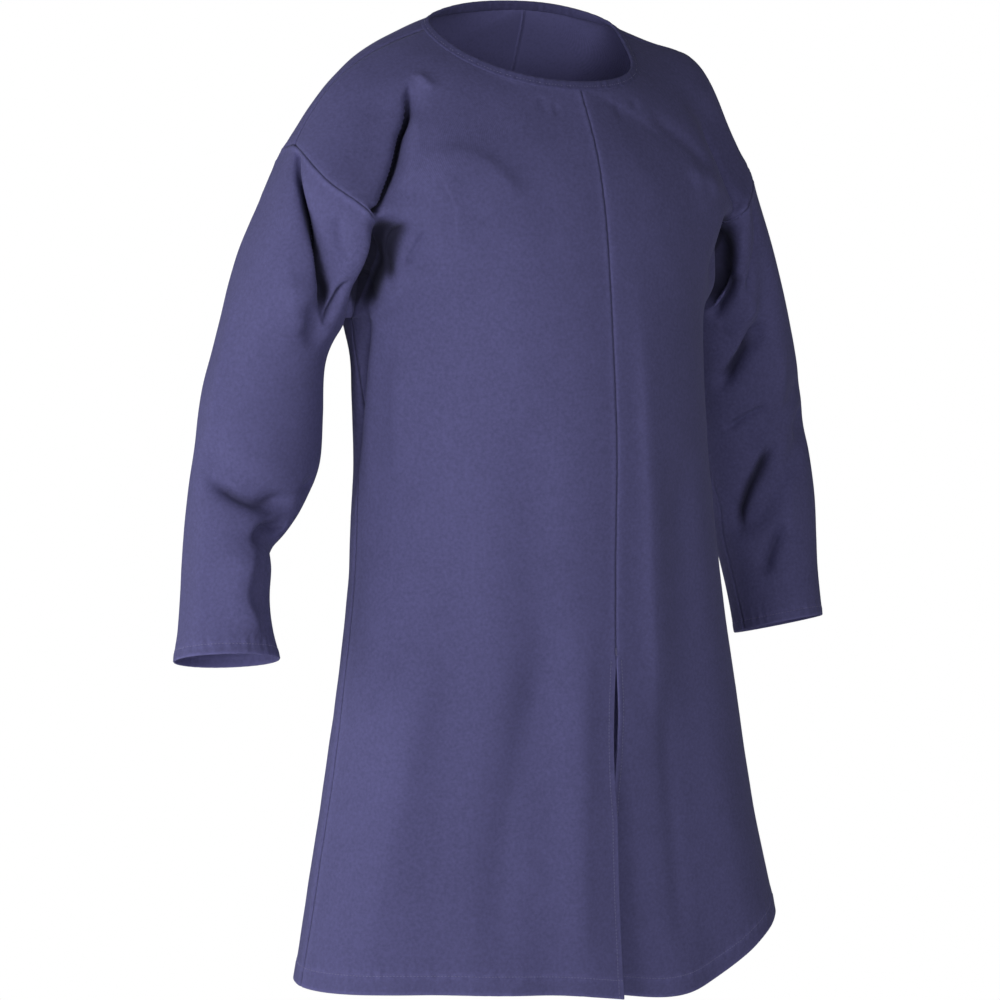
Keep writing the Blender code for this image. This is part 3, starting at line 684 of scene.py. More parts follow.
def bezier(start, start_handle, finish_handle, finish, across):
    """Rows of cubic Bezier curves, one for each start point, read at the shares across."""
    t = across[None, :, None]
    lift = 1 - t
    return (
        lift**3 * start[:, None]
        + 3 * lift**2 * t * (start + start_handle)[:, None]
        + 3 * lift * t**2 * (finish - finish_handle)[:, None]
        + t**3 * finish[:, None]
    )


def skirt_surface(front, side, drops, across):
    """Quarter rounds of the body from the hem up to underarm level, squarer for a longer reach."""
    table = np.array(BODY_SECTIONS)
    columns = curve_through(table[:, 0], table[:, 1:], drops).T
    half, front_depth, back_depth, side_y, _, right_reach, left_reach = columns
    centre_y = -front_depth if front else back_depth
    reach = left_reach if front and side == "left" else right_reach
    nothing = np.zeros_like(drops)
    start = np.stack([nothing, centre_y, -drops], axis=-1)
    finish = np.stack([half, side_y, -drops], axis=-1)
    start_handle = np.stack([reach * half, nothing, nothing], axis=-1)
    finish_handle = np.stack([nothing, reach * (side_y - centre_y), nothing], axis=-1)
    return bezier(start, start_handle, finish_handle, finish, across)


def yoke_surface(front, across):
    """Bezier rows from the centre line and the neck to the armhole, up to the shoulder seam."""
    start, shares = yoke_start(front)
    turn = shares * math.pi
    finish = armhole_ring(turn if front else -turn)
    chord = np.linalg.norm(finish - start, axis=1)[:, None]
    keys = [row.share for row in YOKE_ROWS]
    leave = curve_through(keys, [row.start for row in YOKE_ROWS], shares)
    arrive = curve_through(keys, [row.finish for row in YOKE_ROWS], shares)
    leave_reach = curve_through(keys, [row.start_reach for row in YOKE_ROWS], shares)
    arrive_reach = curve_through(keys, [row.finish_reach for row in YOKE_ROWS], shares)
    if not front:
        leave = leave * np.array([1, -1, 1])
        arrive = arrive * np.array([1, -1, 1])
    start_handle = unit(leave) * leave_reach * chord
    finish_handle = unit(arrive) * arrive_reach * chord
    return bezier(start, start_handle, finish_handle, finish, across)


def swell(points):
    """Points moved by every swell, each fading as e to the minus (distance over radius) squared."""
    moved = points.copy()
    for place in SWELLS:
        away = np.linalg.norm(points - np.array(place[:3]), axis=-1)
        moved += bump(away, place.radius)[..., None] * np.array(place[4:])
    return moved


def body_sway(points):
    """The skirt hangs a little to the wearer's left: x moves by the sway read at each drop."""
    table = np.array(BODY_SECTIONS)
    drop = np.clip(-points[..., 2], UNDERARM_DROP, HEM_DROP)
    shift = np.zeros_like(points)
    shift[..., 0] = np.interp(drop, table[:, 0], table[:, 5])
    return shift


def slit_shift(points, side):
    """How the front's edges stand apart below the top of the slit: sideways as a sine of the way
    down, and the left edge back by a smooth step, both fading out across the panel."""
    down = (-points[..., 2] - SLIT_TOP_DROP) / (HEM_DROP - SLIT_TOP_DROP)
    near = bump(points[..., 0], SLIT_REACH)
    shift = np.zeros_like(points)
    shift[..., 0] = SLIT_PART * near * np.sin(math.pi * np.clip(down, 0, 0.5) * 2)
    if side == "left":
        shift[..., 1] = SLIT_FALL_BACK * near * ease(down)
    return shift


def short_way_round(degrees):
    """The same turn between -180 and 180 degrees."""
    return (degrees + 180) % 360 - 180


def fold_depth(folds, degrees, drop, radius):
    """Depth of the broad folds: for each, e to the minus squared distance from its straight line on
    the unrolled surface, over its width."""
    depth = np.zeros_like(drop)
    for fold in folds:
        turn = math.radians(fold.to_angle - fold.from_angle)
        run = np.array([turn * radius, fold.to_drop - fold.from_drop])
        round_about = short_way_round(degrees - fold.from_angle)
        place = np.stack([np.radians(round_about) * radius, drop - fold.from_drop], axis=-1)
        share = np.clip(place @ run / (run @ run), 0, 1)
        away = np.linalg.norm(place - share[..., None] * run, axis=-1)
        depth += fold.depth * bump(away, fold.width)
    return depth


def body_degrees(points):
    """Degrees round from the centre front, the wearer's left positive."""
    return np.degrees(np.arctan2(points[..., 0], -points[..., 1]))


def grid_normals(points, closed, facing):
    """Unit normals of a grid: the cross product of its steps across and up; closed grids run round
    from the last column to the first."""
    if closed:
        wide = np.concatenate([points[:, -1:], points, points[:, :1]], axis=1)
        across = np.gradient(wide, axis=1)[:, 1:-1]
    else:
        across = np.gradient(points, axis=1)
    return facing * unit(np.cross(across, np.gradient(points, axis=0)))


def panel_facing(front, side):
    """1 where rows up and columns outward give a normal that faces out, -1 where it faces in."""
    return 1.0 if front == (side == "left") else -1.0


def crowded(count):
    """Shares from 0 to 1 that lie closer towards 1: t plus a part of t times one less t."""
    t = np.linspace(0, 1, count)
    return t + CROWDING * t * (1 - t)


def column_shares(front):
    """Shares across a panel, close together at both of its edges."""
    first, last = EDGE_SHARES[-1], 1 - EDGE_SHARES[-1]
    middle = first + (last - first) * (crowded(FRONT_COLUMNS) if front else np.linspace(0, 1, BACK_COLUMNS))
    return np.concatenate([EDGE_SHARES[:-1], middle, 1 - EDGE_SHARES[-2::-1]])


def skirt_drops():
    """Drops of the rows from the hem to underarm level, close together in the turned hem."""
    near_hem = HEM_DROP - HEM_ROW_STEP * np.arange(HEM_ROWS)
    return np.concatenate([near_hem, np.linspace(near_hem[-1], UNDERARM_DROP, SKIRT_ROWS + 1)[1:]])


def soften_underarm(points, across):
    """Rows near underarm level drawn towards the mean of their neighbours, many times over, so that
    the skirt runs into the yoke without a ridge. The side edge stays where it is."""
    near = bump(-points[..., 2] - UNDERARM_DROP, UNDERARM_SOFT_REACH)
    weight = (0.5 * near * (1 - across**SIDE_FADE))[1:-1, :, None]
    eased = points.copy()
    for _ in range(UNDERARM_SOFTENING):
        eased[1:-1] += weight * ((eased[:-2] + eased[2:]) / 2 - eased[1:-1])
    return eased


def panel_form(front, side):
    """Outer face of one body panel as rows of points, hem to shoulder and centre to side, with the
    broad folds pressed in along its normals."""
    across = column_shares(front)
    drops = skirt_drops()
    points = np.concatenate([skirt_surface(front, side, drops, across), yoke_surface(front, across)])
    if front:
        points = points + slit_shift(points, side)
    if side == "right":
        points = points * MIRROR
    points = soften_underarm(swell(points + body_sway(points)), across)
    up = np.concatenate([np.zeros(len(drops)), yoke_start(front)[1]])[:, None]
    inside = (1 - up**SHOULDER_FADE) * (1 - across**SIDE_FADE) * ease(across / CENTRE_FADE)
    depth = fold_depth(BODY_FOLDS, body_degrees(points), -points[..., 2], FOLD_RADIUS) * inside
    return points - depth[..., None] * grid_normals(points, False, panel_facing(front, side))


def sleeve_turns():
    """Turns round the armhole at which the panels' rows and so the sleeve's columns lie."""
    front_turn = np.concatenate([[0.0], yoke_start(True)[1]]) * math.pi
    back_turn = 2 * math.pi - yoke_start(False)[1][-2::-1] * math.pi
    return np.concatenate([front_turn, back_turn])


def sleeve_places(length):
    """Places of the rings down a sleeve, close together at the armhole and in the turned cuff."""
    top = ARMHOLE_ROW_STEP * np.arange(ARMHOLE_ROWS)
    cuff = length - CUFF_ROW_STEP * np.arange(CUFF_ROWS)[::-1]
    middle = top[-1] + (cuff[0] - top[-1]) * (1 - crowded(SLEEVE_ROWS + 1)[::-1])
    return np.concatenate([top, middle[1:-1], cuff])


def sleeve_form(side):
    """Outer face of a sleeve as ellipses from the armhole to the cuff, with the broad folds pressed
    in. Also gives each point's degrees round the section and its ring's drop."""
    under, tip = UNDERARM, SHOULDER_TIP
    armhole = SleeveSection(under[0], -under[2], tip[0], -tip[2], tip[1], ARMHOLE_HALF_DEPTH, 0.0)
    table = np.array([armhole] + SLEEVE_SECTIONS[side])
    middle = np.stack([table[:, 0] + table[:, 2], 2 * table[:, 4], table[:, 1] + table[:, 3]], axis=-1) / 2
    station = run_length(middle, 0)
    place = sleeve_places(station[-1])
    columns = curve_through(station, table, place).T
    inner_x, inner_drop, outer_x, outer_drop, y, half_depth, front_lift = columns
    lift = np.radians(front_lift)
    nothing = np.zeros_like(y)
    inner = np.stack([inner_x, y, -inner_drop], axis=-1)
    outer = np.stack([outer_x, y, -outer_drop], axis=-1)
    forward = half_depth[:, None] * np.stack([nothing, -np.cos(lift), np.sin(lift)], axis=-1)
    turn = sleeve_turns()
    centre = (inner + outer) / 2
    outward = np.cos(turn)[:, None] * ((inner - outer) / 2)[:, None]
    outward = outward + np.sin(turn)[:, None] * forward[:, None]
    degrees, drop = np.meshgrid(np.degrees(turn), -centre[:, 2])
    depth = fold_depth(SLEEVE_FOLDS[side], degrees, drop, SLEEVE_FOLD_RADIUS)
    depth = depth * ease(place / SLEEVE_FOLD_START)[:, None]
    points = centre[:, None] + outward - depth[..., None] * unit(outward)
    drift = 1 - ease(place / ARMHOLE_DRIFT_FADE)
    points = points + drift[:, None, None] * armhole_drift(turn)
    if side == "right":
        points = points * MIRROR
    return swell(points), degrees, drop


def steady(values):
    """Values along a path evened out by a bell-shaped weight over a few neighbours."""
    reach = CREASE_STEADY_REACH
    weight = bump(np.arange(-reach, reach + 1), CREASE_STEADY)
    weight = weight / weight.sum()
    padded = np.pad(values, ((reach, reach), (0, 0)), mode="edge")
    return sum(share * padded[k : k + len(values)] for k, share in enumerate(weight))


def lip_share(ratio):
    """How much of a lip's roll there is at a distance out from the trough, in widths: none in the
    trough, a smooth step up to the crest and a slow smooth step down behind it."""
    rise = ease((ratio - LIP_FOOT) / (LIP_CREST - LIP_FOOT))
    return rise * ease((LIP_END - ratio) / (LIP_END - LIP_CREST))


def crease_move(creases, points, normals, degrees, drop, radius):
    """How all creases move each point. A crease follows a curve through its places, laid on the
    nearest points of the surface. Its height is minus its depth over (1 + squared distance over
    squared width) to the power 1.5, with its own width on each side, and it runs out at both ends.
    A lip moves the crest of one side across the trough."""
    move = np.zeros_like(points)
    for crease in creases:
        keys = np.array(crease.path, float)
        way = run_length(keys * np.array([math.radians(1) * radius, 1.0]), 0)
        count = max(CREASE_FEWEST, int(way[-1] / CREASE_STEP))
        share = np.linspace(0, 1, count)
        samples = curve_through(way / way[-1], keys, share)
        round_about = short_way_round(degrees[None] - samples[:, :1])
        away = (np.radians(round_about) * radius) ** 2 + (drop[None] - samples[:, 1:]) ** 2
        nearest = np.argmin(away, axis=1)
        line = steady(points[nearest])
        aside = unit(np.cross(steady(normals[nearest]), np.gradient(line, axis=0)))
        fade = ease(share / CREASE_RUN_OUT) * ease((1 - share) / CREASE_RUN_OUT)
        sight = CREASE_SIGHT * max(crease.left, crease.right)
        close = np.all((points > line.min(0) - sight) & (points < line.max(0) + sight), axis=1)
        gap = points[close][:, None] - line[None]
        distance = np.linalg.norm(gap, axis=-1)
        index = np.argmin(distance, axis=1)
        rows = np.arange(len(index))
        left = np.sum(gap[rows, index] * aside[index], axis=-1) > 0
        ratio = distance[rows, index] / np.where(left, crease.left, crease.right)
        height = -crease.depth * fade[index] * (1 + ratio**2) ** -1.5
        roll = crease.lip * fade[index] * lip_share(ratio) * (left == (crease.lip < 0))
        move[close] += height[:, None] * normals[close] + roll[:, None] * aside[index]
    return move


def joined(grids, vectors):
    """Vectors of all pieces, with one shared mean direction where pieces meet at a seam, and how
    nearly each piece's own vector faces that way."""
    names = list(grids)
    points = np.concatenate([grids[name].reshape(-1, 3) for name in names])
    own = np.concatenate([vectors[name].reshape(-1, 3) for name in names])
    _, group = np.unique(np.round(points / SAME_PLACE).astype(int), axis=0, return_inverse=True)
    group = group.ravel()
    total = np.zeros((group.max() + 1, 3))
    np.add.at(total, group, own)
    shared = unit(total)[group]
    facing = np.zeros(group.max() + 1)
    np.add.at(facing, group, np.sum(own * shared, axis=1))
    facing = (facing / np.bincount(group))[group]
    ends = np.cumsum([grids[name].size // 3 for name in names])[:-1]
    shapes = [grids[name].shape for name in names]
    parts = zip(names, shapes, np.split(shared, ends), np.split(facing, ends))
    return {name: (part.reshape(shape), face.reshape(shape[:2])) for name, shape, part, face in parts}


def seam_height(distance):
    """A sewn seam from the side: a dip at the seam and a slight swelling beside it."""
    swelling = SEAM_SWELL * bump(distance - SEAM_SWELL_AT, SEAM_ROLL)
    return swelling - SEAM_DIP * bump(distance, SEAM_ROLL)


def turned_edge_height(distance, stitch_at):
    """A turned and stitched edge: raised up to its stitch line, with a groove along the stitches."""
    raised = EDGE_RAISE * (1 - ease((distance - stitch_at) / EDGE_FALL))
    return raised - STITCH_GROOVE * bump(distance - stitch_at, STITCH_GROOVE_WIDTH)


def pucker_wave(place):
    """Uneven short waves along a seam: two sines of unlike lengths, the first with a wandering phase."""
    wandering = PUCKER_WANDER_SHARE * np.sin(place / PUCKER_WANDER)
    first = np.sin(2 * math.pi * (place / PUCKER_LONG + wandering))
    second = np.sin(2 * math.pi * place / PUCKER_SHORT + PUCKER_SHORT_START)
    return PUCKER_LONG_SHARE * first + PUCKER_SHORT_SHARE * second


def cloth_unevenness(points):
    """Slow unevenness of worn cloth: sines of slanting sums of the coordinates, longer in height."""
    x, y, z = np.moveaxis(points, -1, 0)
    slow = np.sin(34 * x + 9 * z + 0.6) * np.cos(29 * y - 7 * z + 1.1)
    quick = np.sin(71 * x - 23 * y + 17 * z) * np.cos(63 * y + 13 * z + 0.4)
    fine = np.sin(118 * x + 61 * z + 0.9) * np.cos(97 * y - 52 * z)
    return UNEVENNESS * (0.55 * slow + 0.30 * quick + 0.15 * fine)


def armhole_place(points):
    """Way round the armhole from the front, measured on its ellipse, the same for panel and sleeve."""
    _, y, z = np.moveaxis(points - ARMHOLE_CENTRE, -1, 0)
    turn = np.arctan2(z, y)
    return turn * ARMHOLE_HALF_DEPTH


def panel_relief(points, front, sizes):
    """Height of a panel's sewing: dips at the seams, a turned hem, turned slit edges and puckers.
    Also gives how much each place is worn pale and, as negative values, the painted shade of a thin dark
    line along the centre, side and armhole seams."""
    drop = -points[..., 2]
    across = run_length(points, 1)
    up = run_length(points, 0)
    from_side = across[:, -1:] - across
    from_shoulder = up[-1:] - up
    body_rows = len(skirt_drops()) + CHEST_ROWS
    seamed = np.zeros_like(drop)
    seamed[:body_rows] = 1.0
    slit = np.zeros_like(drop)
    if front:
        slit[:body_rows] = ease((drop[:body_rows] - SLIT_TOP_DROP) / SEAM_END)
    seamed = seamed * (1 - slit)
    height = seam_height(across) * seamed + seam_height(from_side) + seam_height(from_shoulder)
    height += turned_edge_height(across, SLIT_STITCH_INSET) * slit
    height += turned_edge_height(up, sizes.hem_depth)
    inner = ease(across / PUCKER_END) * ease(from_side / PUCKER_END)
    height += PUCKER * pucker_wave(across) * bump(up - sizes.hem_depth, PUCKER_REACH) * inner
    height += PUCKER * pucker_wave(drop) * np.exp(-across / PUCKER_REACH) * seamed
    height += PUCKER * pucker_wave(armhole_place(points)) * np.exp(-from_side / PUCKER_REACH)
    if front:
        turn = np.concatenate([np.zeros(len(skirt_drops())), yoke_start(True)[1] * math.pi])
        height -= TUCK_DEPTH * tuck_share(turn)[:, None] * bump(from_side, TUCK_BODY_REACH)
    at_neck = np.ones_like(drop)
    at_neck[body_rows:] = ease(across[body_rows:] / NECK_END)
    height = (height + cloth_unevenness(points)) * at_neck
    rub = bump(up, RUB_EDGE) + RUB_STITCHES_SHARE * bump(up - sizes.hem_depth, RUB_STITCHES)
    rub += slit * bump(across, RUB_EDGE)
    rub += RUB_CENTRE_SHARE * seamed * bump(across - SEAM_SWELL_AT, RUB_SEAM)
    rub += RUB_ARMHOLE_SHARE * bump(from_side - SEAM_SWELL_AT, RUB_SEAM)
    # Painted shade: a thin dark line in the colour along the centre seam and the side and armhole seams
    rub -= PAINTED_SEAM_SHADE_SHARE * np.maximum(seamed * bump(across, PAINTED_SEAM_SHADE_WIDTH), bump(from_side, PAINTED_SEAM_SHADE_WIDTH))
    return height, np.clip(rub, -1, 1)


def sleeve_relief(points, sizes):
    """Height of a sleeve's sewing: dips at the armhole and the underarm seam, a turned cuff and
    puckers. Also gives how much each place is worn pale and, as negative values, the painted shade of a
    thin dark line along the armhole seam."""
    down = run_length(points, 0)
    from_cuff = down[-1:] - down
    wide = np.concatenate([points, points[:, :1]], axis=1)
    around = run_length(wide, 1)
    from_seam = np.minimum(around[:, :-1], around[:, -1:] - around[:, :-1])
    height = seam_height(down) + seam_height(from_seam) * ease(down / SEAM_END)
    height += turned_edge_height(from_cuff, sizes.cuff_depth)
    lengthwise = pucker_wave(around[:, :-1]) * ease(from_seam / PUCKER_END)
    height += PUCKER * lengthwise * bump(from_cuff - sizes.cuff_depth, PUCKER_REACH)
    height += PUCKER * pucker_wave(armhole_place(points)) * np.exp(-down / PUCKER_REACH)
    height -= TUCK_DEPTH * tuck_share(sleeve_turns()) * bump(down, TUCK_SLEEVE_REACH)
    rub = bump(from_cuff, RUB_EDGE) + RUB_STITCHES_SHARE * bump(from_cuff - sizes.cuff_depth, RUB_STITCHES)
    rub += RUB_ARMHOLE_SHARE * bump(down - SEAM_SWELL_AT, RUB_SEAM)
    # Painted shade: a thin dark line in the colour along the armhole seam
    rub -= PAINTED_SEAM_SHADE_SHARE * bump(down, PAINTED_SEAM_SHADE_WIDTH)
    return height + cloth_unevenness(points), np.clip(rub, -1, 1)


def panel_name(front, side):
    return ("front_" if front else "back_") + side


def body_crease_moves(grids, ways):
    """How the creases move each panel's points, worked out on the four panels as one surface."""
    names = [panel_name(front, side) for front, side in PANELS]
    points = np.concatenate([grids[name].reshape(-1, 3) for name in names])
    normals = np.concatenate([ways[name][0].reshape(-1, 3) for name in names])
    moves = crease_move(BODY_CREASES, points, normals, body_degrees(points), -points[:, 2], FOLD_RADIUS)
    ends = np.cumsum([grids[name].size // 3 for name in names])[:-1]
    parts = zip(names, np.split(moves, ends))
    return {name: part.reshape(grids[name].shape) for name, part in parts}


def body_crease_fade(points):
    """How much of its creases a panel keeps: all below underarm level, and above it a smooth step up
    from the side, the shoulder and the neck."""
    across = run_length(points, 1)
    up = run_length(points, 0)
    fade = ease((across[:, -1:] - across) / BODY_CREASE_FADE) * ease((up[-1:] - up) / BODY_CREASE_FADE)
    fade[-NECK_ROWS:] *= ease(across[-NECK_ROWS:] / BODY_CREASE_FADE)
    below = -points[..., 2] > UNDERARM_DROP
    return np.where(below, 1.0, fade)


def sleeve_crease_moves(side, points, normals, degrees, drop):
    """How the creases move a sleeve's points."""
    flat_points = points.reshape(-1, 3)
    flat_normals = normals.reshape(-1, 3)
    round_about = degrees.ravel()
    moves = crease_move(
        SLEEVE_CREASES[side], flat_points, flat_normals, round_about, drop.ravel(), SLEEVE_FOLD_RADIUS
    )
    return moves.reshape(points.shape)


@lru_cache(maxsize=1)
def sewn_cloth(sizes):
    """All six cloth pieces: each one's form, moved along the normals it shares at the seams by its
    creases and its sewing, with an inner face one thickness further in."""
    grids = {panel_name(front, side): panel_form(front, side) for front, side in PANELS}
    facing = {panel_name(front, side): panel_facing(front, side) for front, side in PANELS}
    section = {}
    for side in SIDES:
        name = "sleeve_" + side
        grids[name], *section[name] = sleeve_form(side)
        facing[name] = 1.0 if side == "right" else -1.0
    closed = {name: name.startswith("sleeve") for name in grids}

    def normals_of(shapes):
        own = {name: grid_normals(shapes[name], closed[name], facing[name]) for name in shapes}
        for front, side in PANELS:
            own[panel_name(front, side)][-NECK_ROWS - 1 :, 0] = neck_normals(front, side)
        return joined(shapes, own)

    ways = normals_of(grids)
    body_moves = body_crease_moves(grids, ways)
    finished = {}
    wear_and_shade_by_piece = {}

    def sew(name, relief, creases):
        normals = ways[name][0]
        moves = relief[..., None] * normals + creases
        # Painted shade: the colour darkens where the creases and the tuck press the cloth in deep
        wear_and_shade_by_piece[name] -= painted_fold_shade(moves, normals)
        finished[name] = grids[name] + moves

    for front, side in PANELS:
        name = panel_name(front, side)
        points = grids[name]
        relief, wear_and_shade_by_piece[name] = panel_relief(points, front, sizes)
        depth = sizes.crease_depth * body_crease_fade(points)
        sew(name, relief, depth[..., None] * body_moves[name])
    for side in SIDES:
        name = "sleeve_" + side
        points = grids[name]
        creases = sleeve_crease_moves(side, points, ways[name][0], *section[name])
        relief, wear_and_shade_by_piece[name] = sleeve_relief(points, sizes)
        depth = sizes.crease_depth * ease(run_length(points, 0) / SLEEVE_CREASE_FADE)
        sew(name, relief, depth[..., None] * creases + tuck_lip(points))

    cloths = {}
    for name, (normals, faces_way) in normals_of(finished).items():
        points = finished[name]
        depth = sizes.thickness / np.clip(faces_way, 1 / MOST_MITRE, 1)
        inner = points - depth[..., None] * normals
        around = np.concatenate([points, points[:, :1]], axis=1) if closed[name] else points
        up = run_length(points, 0)
        free = np.zeros(points.shape[:2])
        free[-1 if closed[name] else 0] = 1.0
        if name.startswith("front"):
            free[:, 0] = np.maximum(free[:, 0], -points[:, 0, 2] > SLIT_TOP_DROP)
        cloths[name] = Cloth(
            points, normals, inner, closed[name], facing[name], run_length(around, 1), up, wear_and_shade_by_piece[name], free
        )
    return cloths


def edge_outward(points, closed):
    """Way out of the cloth's own plane at its edges, from each edge's neighbour to the edge."""
    way = np.zeros_like(points)
    way[0] += unit(points[0] - points[1])
    way[-1] += unit(points[-1] - points[-2])
    if not closed:
        way[:, 0] += unit(points[:, 0] - points[:, 1])
        way[:, -1] += unit(points[:, -1] - points[:, -2])
    return unit(way)


def edge_loops(rows, columns, closed):
    """Edges of a grid of points, as its points' numbers in the order that its faces run."""
    number = np.arange(rows * columns).reshape(rows, columns)
    if closed:
        return [number[0], number[-1, ::-1]]
    sides = [number[0, :-1], number[:-1, -1], number[-1, :0:-1], number[:0:-1, 0]]
    return [np.concatenate(sides)]


def quads(lower_left, lower_right, upper_right, upper_left):
    """Rows of four corners, one for each face."""
    corners = np.stack([lower_left, lower_right, upper_right, upper_left], axis=-1)
    return corners.reshape(-1, 4)


def cloth_mesh(name, cloth, material):
    """A thin wall: the outer grid, the inner grid turned round, and between their edges a rim of two
    strips that bulges where the edge is free. Its UV map is the lengths along and up, in metres."""
    rows, columns = cloth.points.shape[:2]
    size = rows * columns
    outer = cloth.points.reshape(-1, 3)
    inner = cloth.inner.reshape(-1, 3)
    number = np.arange(size).reshape(rows, columns)
    wide = np.concatenate([number, number[:, :1]], axis=1) if cloth.closed else number
    up = np.concatenate([cloth.up, cloth.up[:, :1]], axis=1) if cloth.closed else cloth.up
    place = np.stack([cloth.along, up], axis=-1).reshape(-1, 2)
    slot = np.arange(len(place)).reshape(wide.shape)

    def grid_faces(grid):
        return quads(grid[:-1, :-1], grid[:-1, 1:], grid[1:, 1:], grid[1:, :-1])

    front_faces = grid_faces(wide)
    front_places = grid_faces(slot)
    faces = [front_faces, front_faces[:, ::-1] + size]
    places = [place[front_places], place[front_places[:, ::-1]]]
    vertices = [outer, inner]
    # Per point: wear paints the colour pale where positive, painted shade darkens it where negative; the
    # reverse is paler
    rub = [cloth.rub.ravel(), cloth.rub.ravel() + REVERSE_PALER]
    outward = edge_outward(cloth.points, cloth.closed).reshape(-1, 3)
    first_middle = 2 * size
    for loop in edge_loops(rows, columns, cloth.closed):
        half_wall = np.linalg.norm(outer[loop] - inner[loop], axis=1) * RIM_BULGE
        bulge = (cloth.free.ravel()[loop] * half_wall)[:, None] * outward[loop]
        vertices.append((outer[loop] + inner[loop]) / 2 + bulge)
        rub.append(cloth.rub.ravel()[loop])
        middle = first_middle + np.arange(len(loop))
        first_middle += len(loop)
        ahead = np.roll(loop, -1)
        middle_ahead = np.roll(middle, -1)
        strips = [quads(ahead, loop, middle, middle_ahead)]
        strips.append(quads(middle_ahead, middle, loop + size, ahead + size))
        own_place = np.stack([cloth.along[:, :columns], cloth.up], axis=-1).reshape(-1, 2)
        for strip in strips:
            faces.append(strip)
            places.append(own_place[quads(loop, loop, loop, loop)])
    faces = np.concatenate(faces)
    places = np.concatenate(places)
    if cloth.facing < 0:
        faces = faces[:, ::-1]
        places = places[:, ::-1]
    piece = mesh_piece(name, np.concatenate(vertices), faces, material)
    layer = piece.data.uv_layers.new(name="cloth")
    layer.uv.foreach_set("vector", np.ascontiguousarray(places, dtype=np.float32).ravel())
    worn_and_shaded = piece.data.attributes.new("rub", "FLOAT", "POINT")
    worn_and_shaded.data.foreach_set("value", np.concatenate(rub).astype(np.float32))
    return piece


def mesh_piece(name, vertices, faces, material):
    """An object at the origin from arrays of vertices and faces, shaded smooth."""
    mesh = bpy.data.meshes.new(name)
    mesh.from_pydata(vertices, [], faces)
    mesh.materials.append(material)
    mesh.shade_smooth()
    piece = bpy.data.objects.new(name, mesh)
    bpy.context.scene.collection.objects.link(piece)
    return piece


def binding_surface():
    """The strip round the neck: a rounded oblong, cosine and sine to the same small power, carried
    along the ring and swelling a little between its stitches. Points by ring place and section."""
    base, upward, outward = neck_frame(BINDING_QUARTER)
    turn = np.linspace(0, 2 * math.pi, BINDING_SIDES, endpoint=False)
    power = 2 / BINDING_SQUARENESS
    across = np.sign(np.cos(turn)) * np.abs(np.cos(turn)) ** power
    raised = np.sign(np.sin(turn)) * np.abs(np.sin(turn)) ** power
    along = run_length(base, 0)
    puff = 1 + BINDING_PUFF * pucker_wave(along)[:, None]
    half_width = (BINDING_WIDTH + BINDING_OVERLAP) / 2
    half_height = BINDING_HALF_WALL + BINDING_RAISE
    reach = half_width * (1 + across) - BINDING_OVERLAP
    groove = STITCH_GROOVE * bump(reach - BINDING_STITCH_INSET, BINDING_GROOVE_WIDTH) * (raised > 0.5)
    height = half_height * raised * puff - BINDING_HALF_WALL - groove
    ring = base[:, None] + reach[None, :, None] * upward[:, None]
    return ring + height[..., None] * outward[:, None]


def ring_faces(rings, sides):
    """Faces of a closed band of rings by sides."""
    number = np.arange(rings * sides).reshape(rings, sides)
    ahead = np.roll(number, -1, axis=0)
    return quads(number, ahead, np.roll(ahead, -1, axis=1), np.roll(number, -1, axis=1))


def stitches(path, normals, length, gap, radius):
    """Stitches along a path: each a short thread whose sections shrink and sink towards both ends as
    the root of one less the squared way out. Gives vertices and faces."""
    way = run_length(path, 0)
    count = max(1, int(way[-1] / (length + gap)))
    middle = (np.arange(count) + 0.5) * way[-1] / count
    out = np.linspace(-1, 1, STITCH_SECTIONS)
    at = middle[:, None] + out * length / 2
    centre = np.stack([np.interp(at, way, path[:, k]) for k in range(3)], axis=-1)
    normal = unit(np.stack([np.interp(at, way, normals[:, k]) for k in range(3)], axis=-1))
    aside = unit(np.cross(normal, np.gradient(centre, axis=1)))
    shift = STITCH_UNEVEN * np.sin(STITCH_UNEVEN_TURN * np.arange(count))[:, None, None]
    fat = radius * np.sqrt(1 - STITCH_TAPER * out**2)
    stand = radius * (STITCH_STAND - STITCH_SINK * out**2)
    centre = centre + stand[:, None] * normal + shift * aside
    turn = np.arange(STITCH_SIDES) / STITCH_SIDES * 2 * math.pi
    spread = np.cos(turn)[:, None] * aside[:, :, None] + np.sin(turn)[:, None] * normal[:, :, None]
    vertices = centre[:, :, None] + fat[:, None, None] * spread
    number = np.arange(vertices.size // 3).reshape(count, STITCH_SECTIONS, STITCH_SIDES)
    ahead = np.roll(number, -1, axis=2)
    walls = quads(number[:, :-1], number[:, 1:], ahead[:, 1:], ahead[:, :-1])
    caps = number[:, 0].tolist() + number[:, -1, ::-1].tolist()
    return vertices.reshape(-1, 3), walls.tolist() + caps


def stitch_piece(name, rows, material, context):
    """One object with the stitches of several rows."""
    cloth = context.scene.tunic_cloth
    vertices = []
    faces = []
    start = 0
    for path, normals in rows:
        points, own = stitches(path, normals, cloth.stitch_length, cloth.stitch_gap, cloth.thread_radius)
        vertices.append(points)
        faces += [[start + corner for corner in face] for face in own]
        start += len(points)
    piece = mesh_piece(name, np.concatenate(vertices), faces, material)
    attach(piece, "root")
    return piece


def across_at(cloth, distance):
    """The line on a cloth at a set distance along every row from its first column, by straight
    steps between columns, with its normals."""
    last = np.clip(np.sum(cloth.along < distance, axis=1), 1, cloth.along.shape[1] - 1)
    row = np.arange(len(last))
    low = cloth.along[row, last - 1]
    share = ((distance - low) / (cloth.along[row, last] - low))[:, None]
    points = cloth.points[row, last - 1] * (1 - share) + cloth.points[row, last] * share
    normals = cloth.normals[row, last - 1] * (1 - share) + cloth.normals[row, last] * share
    return points, unit(normals)


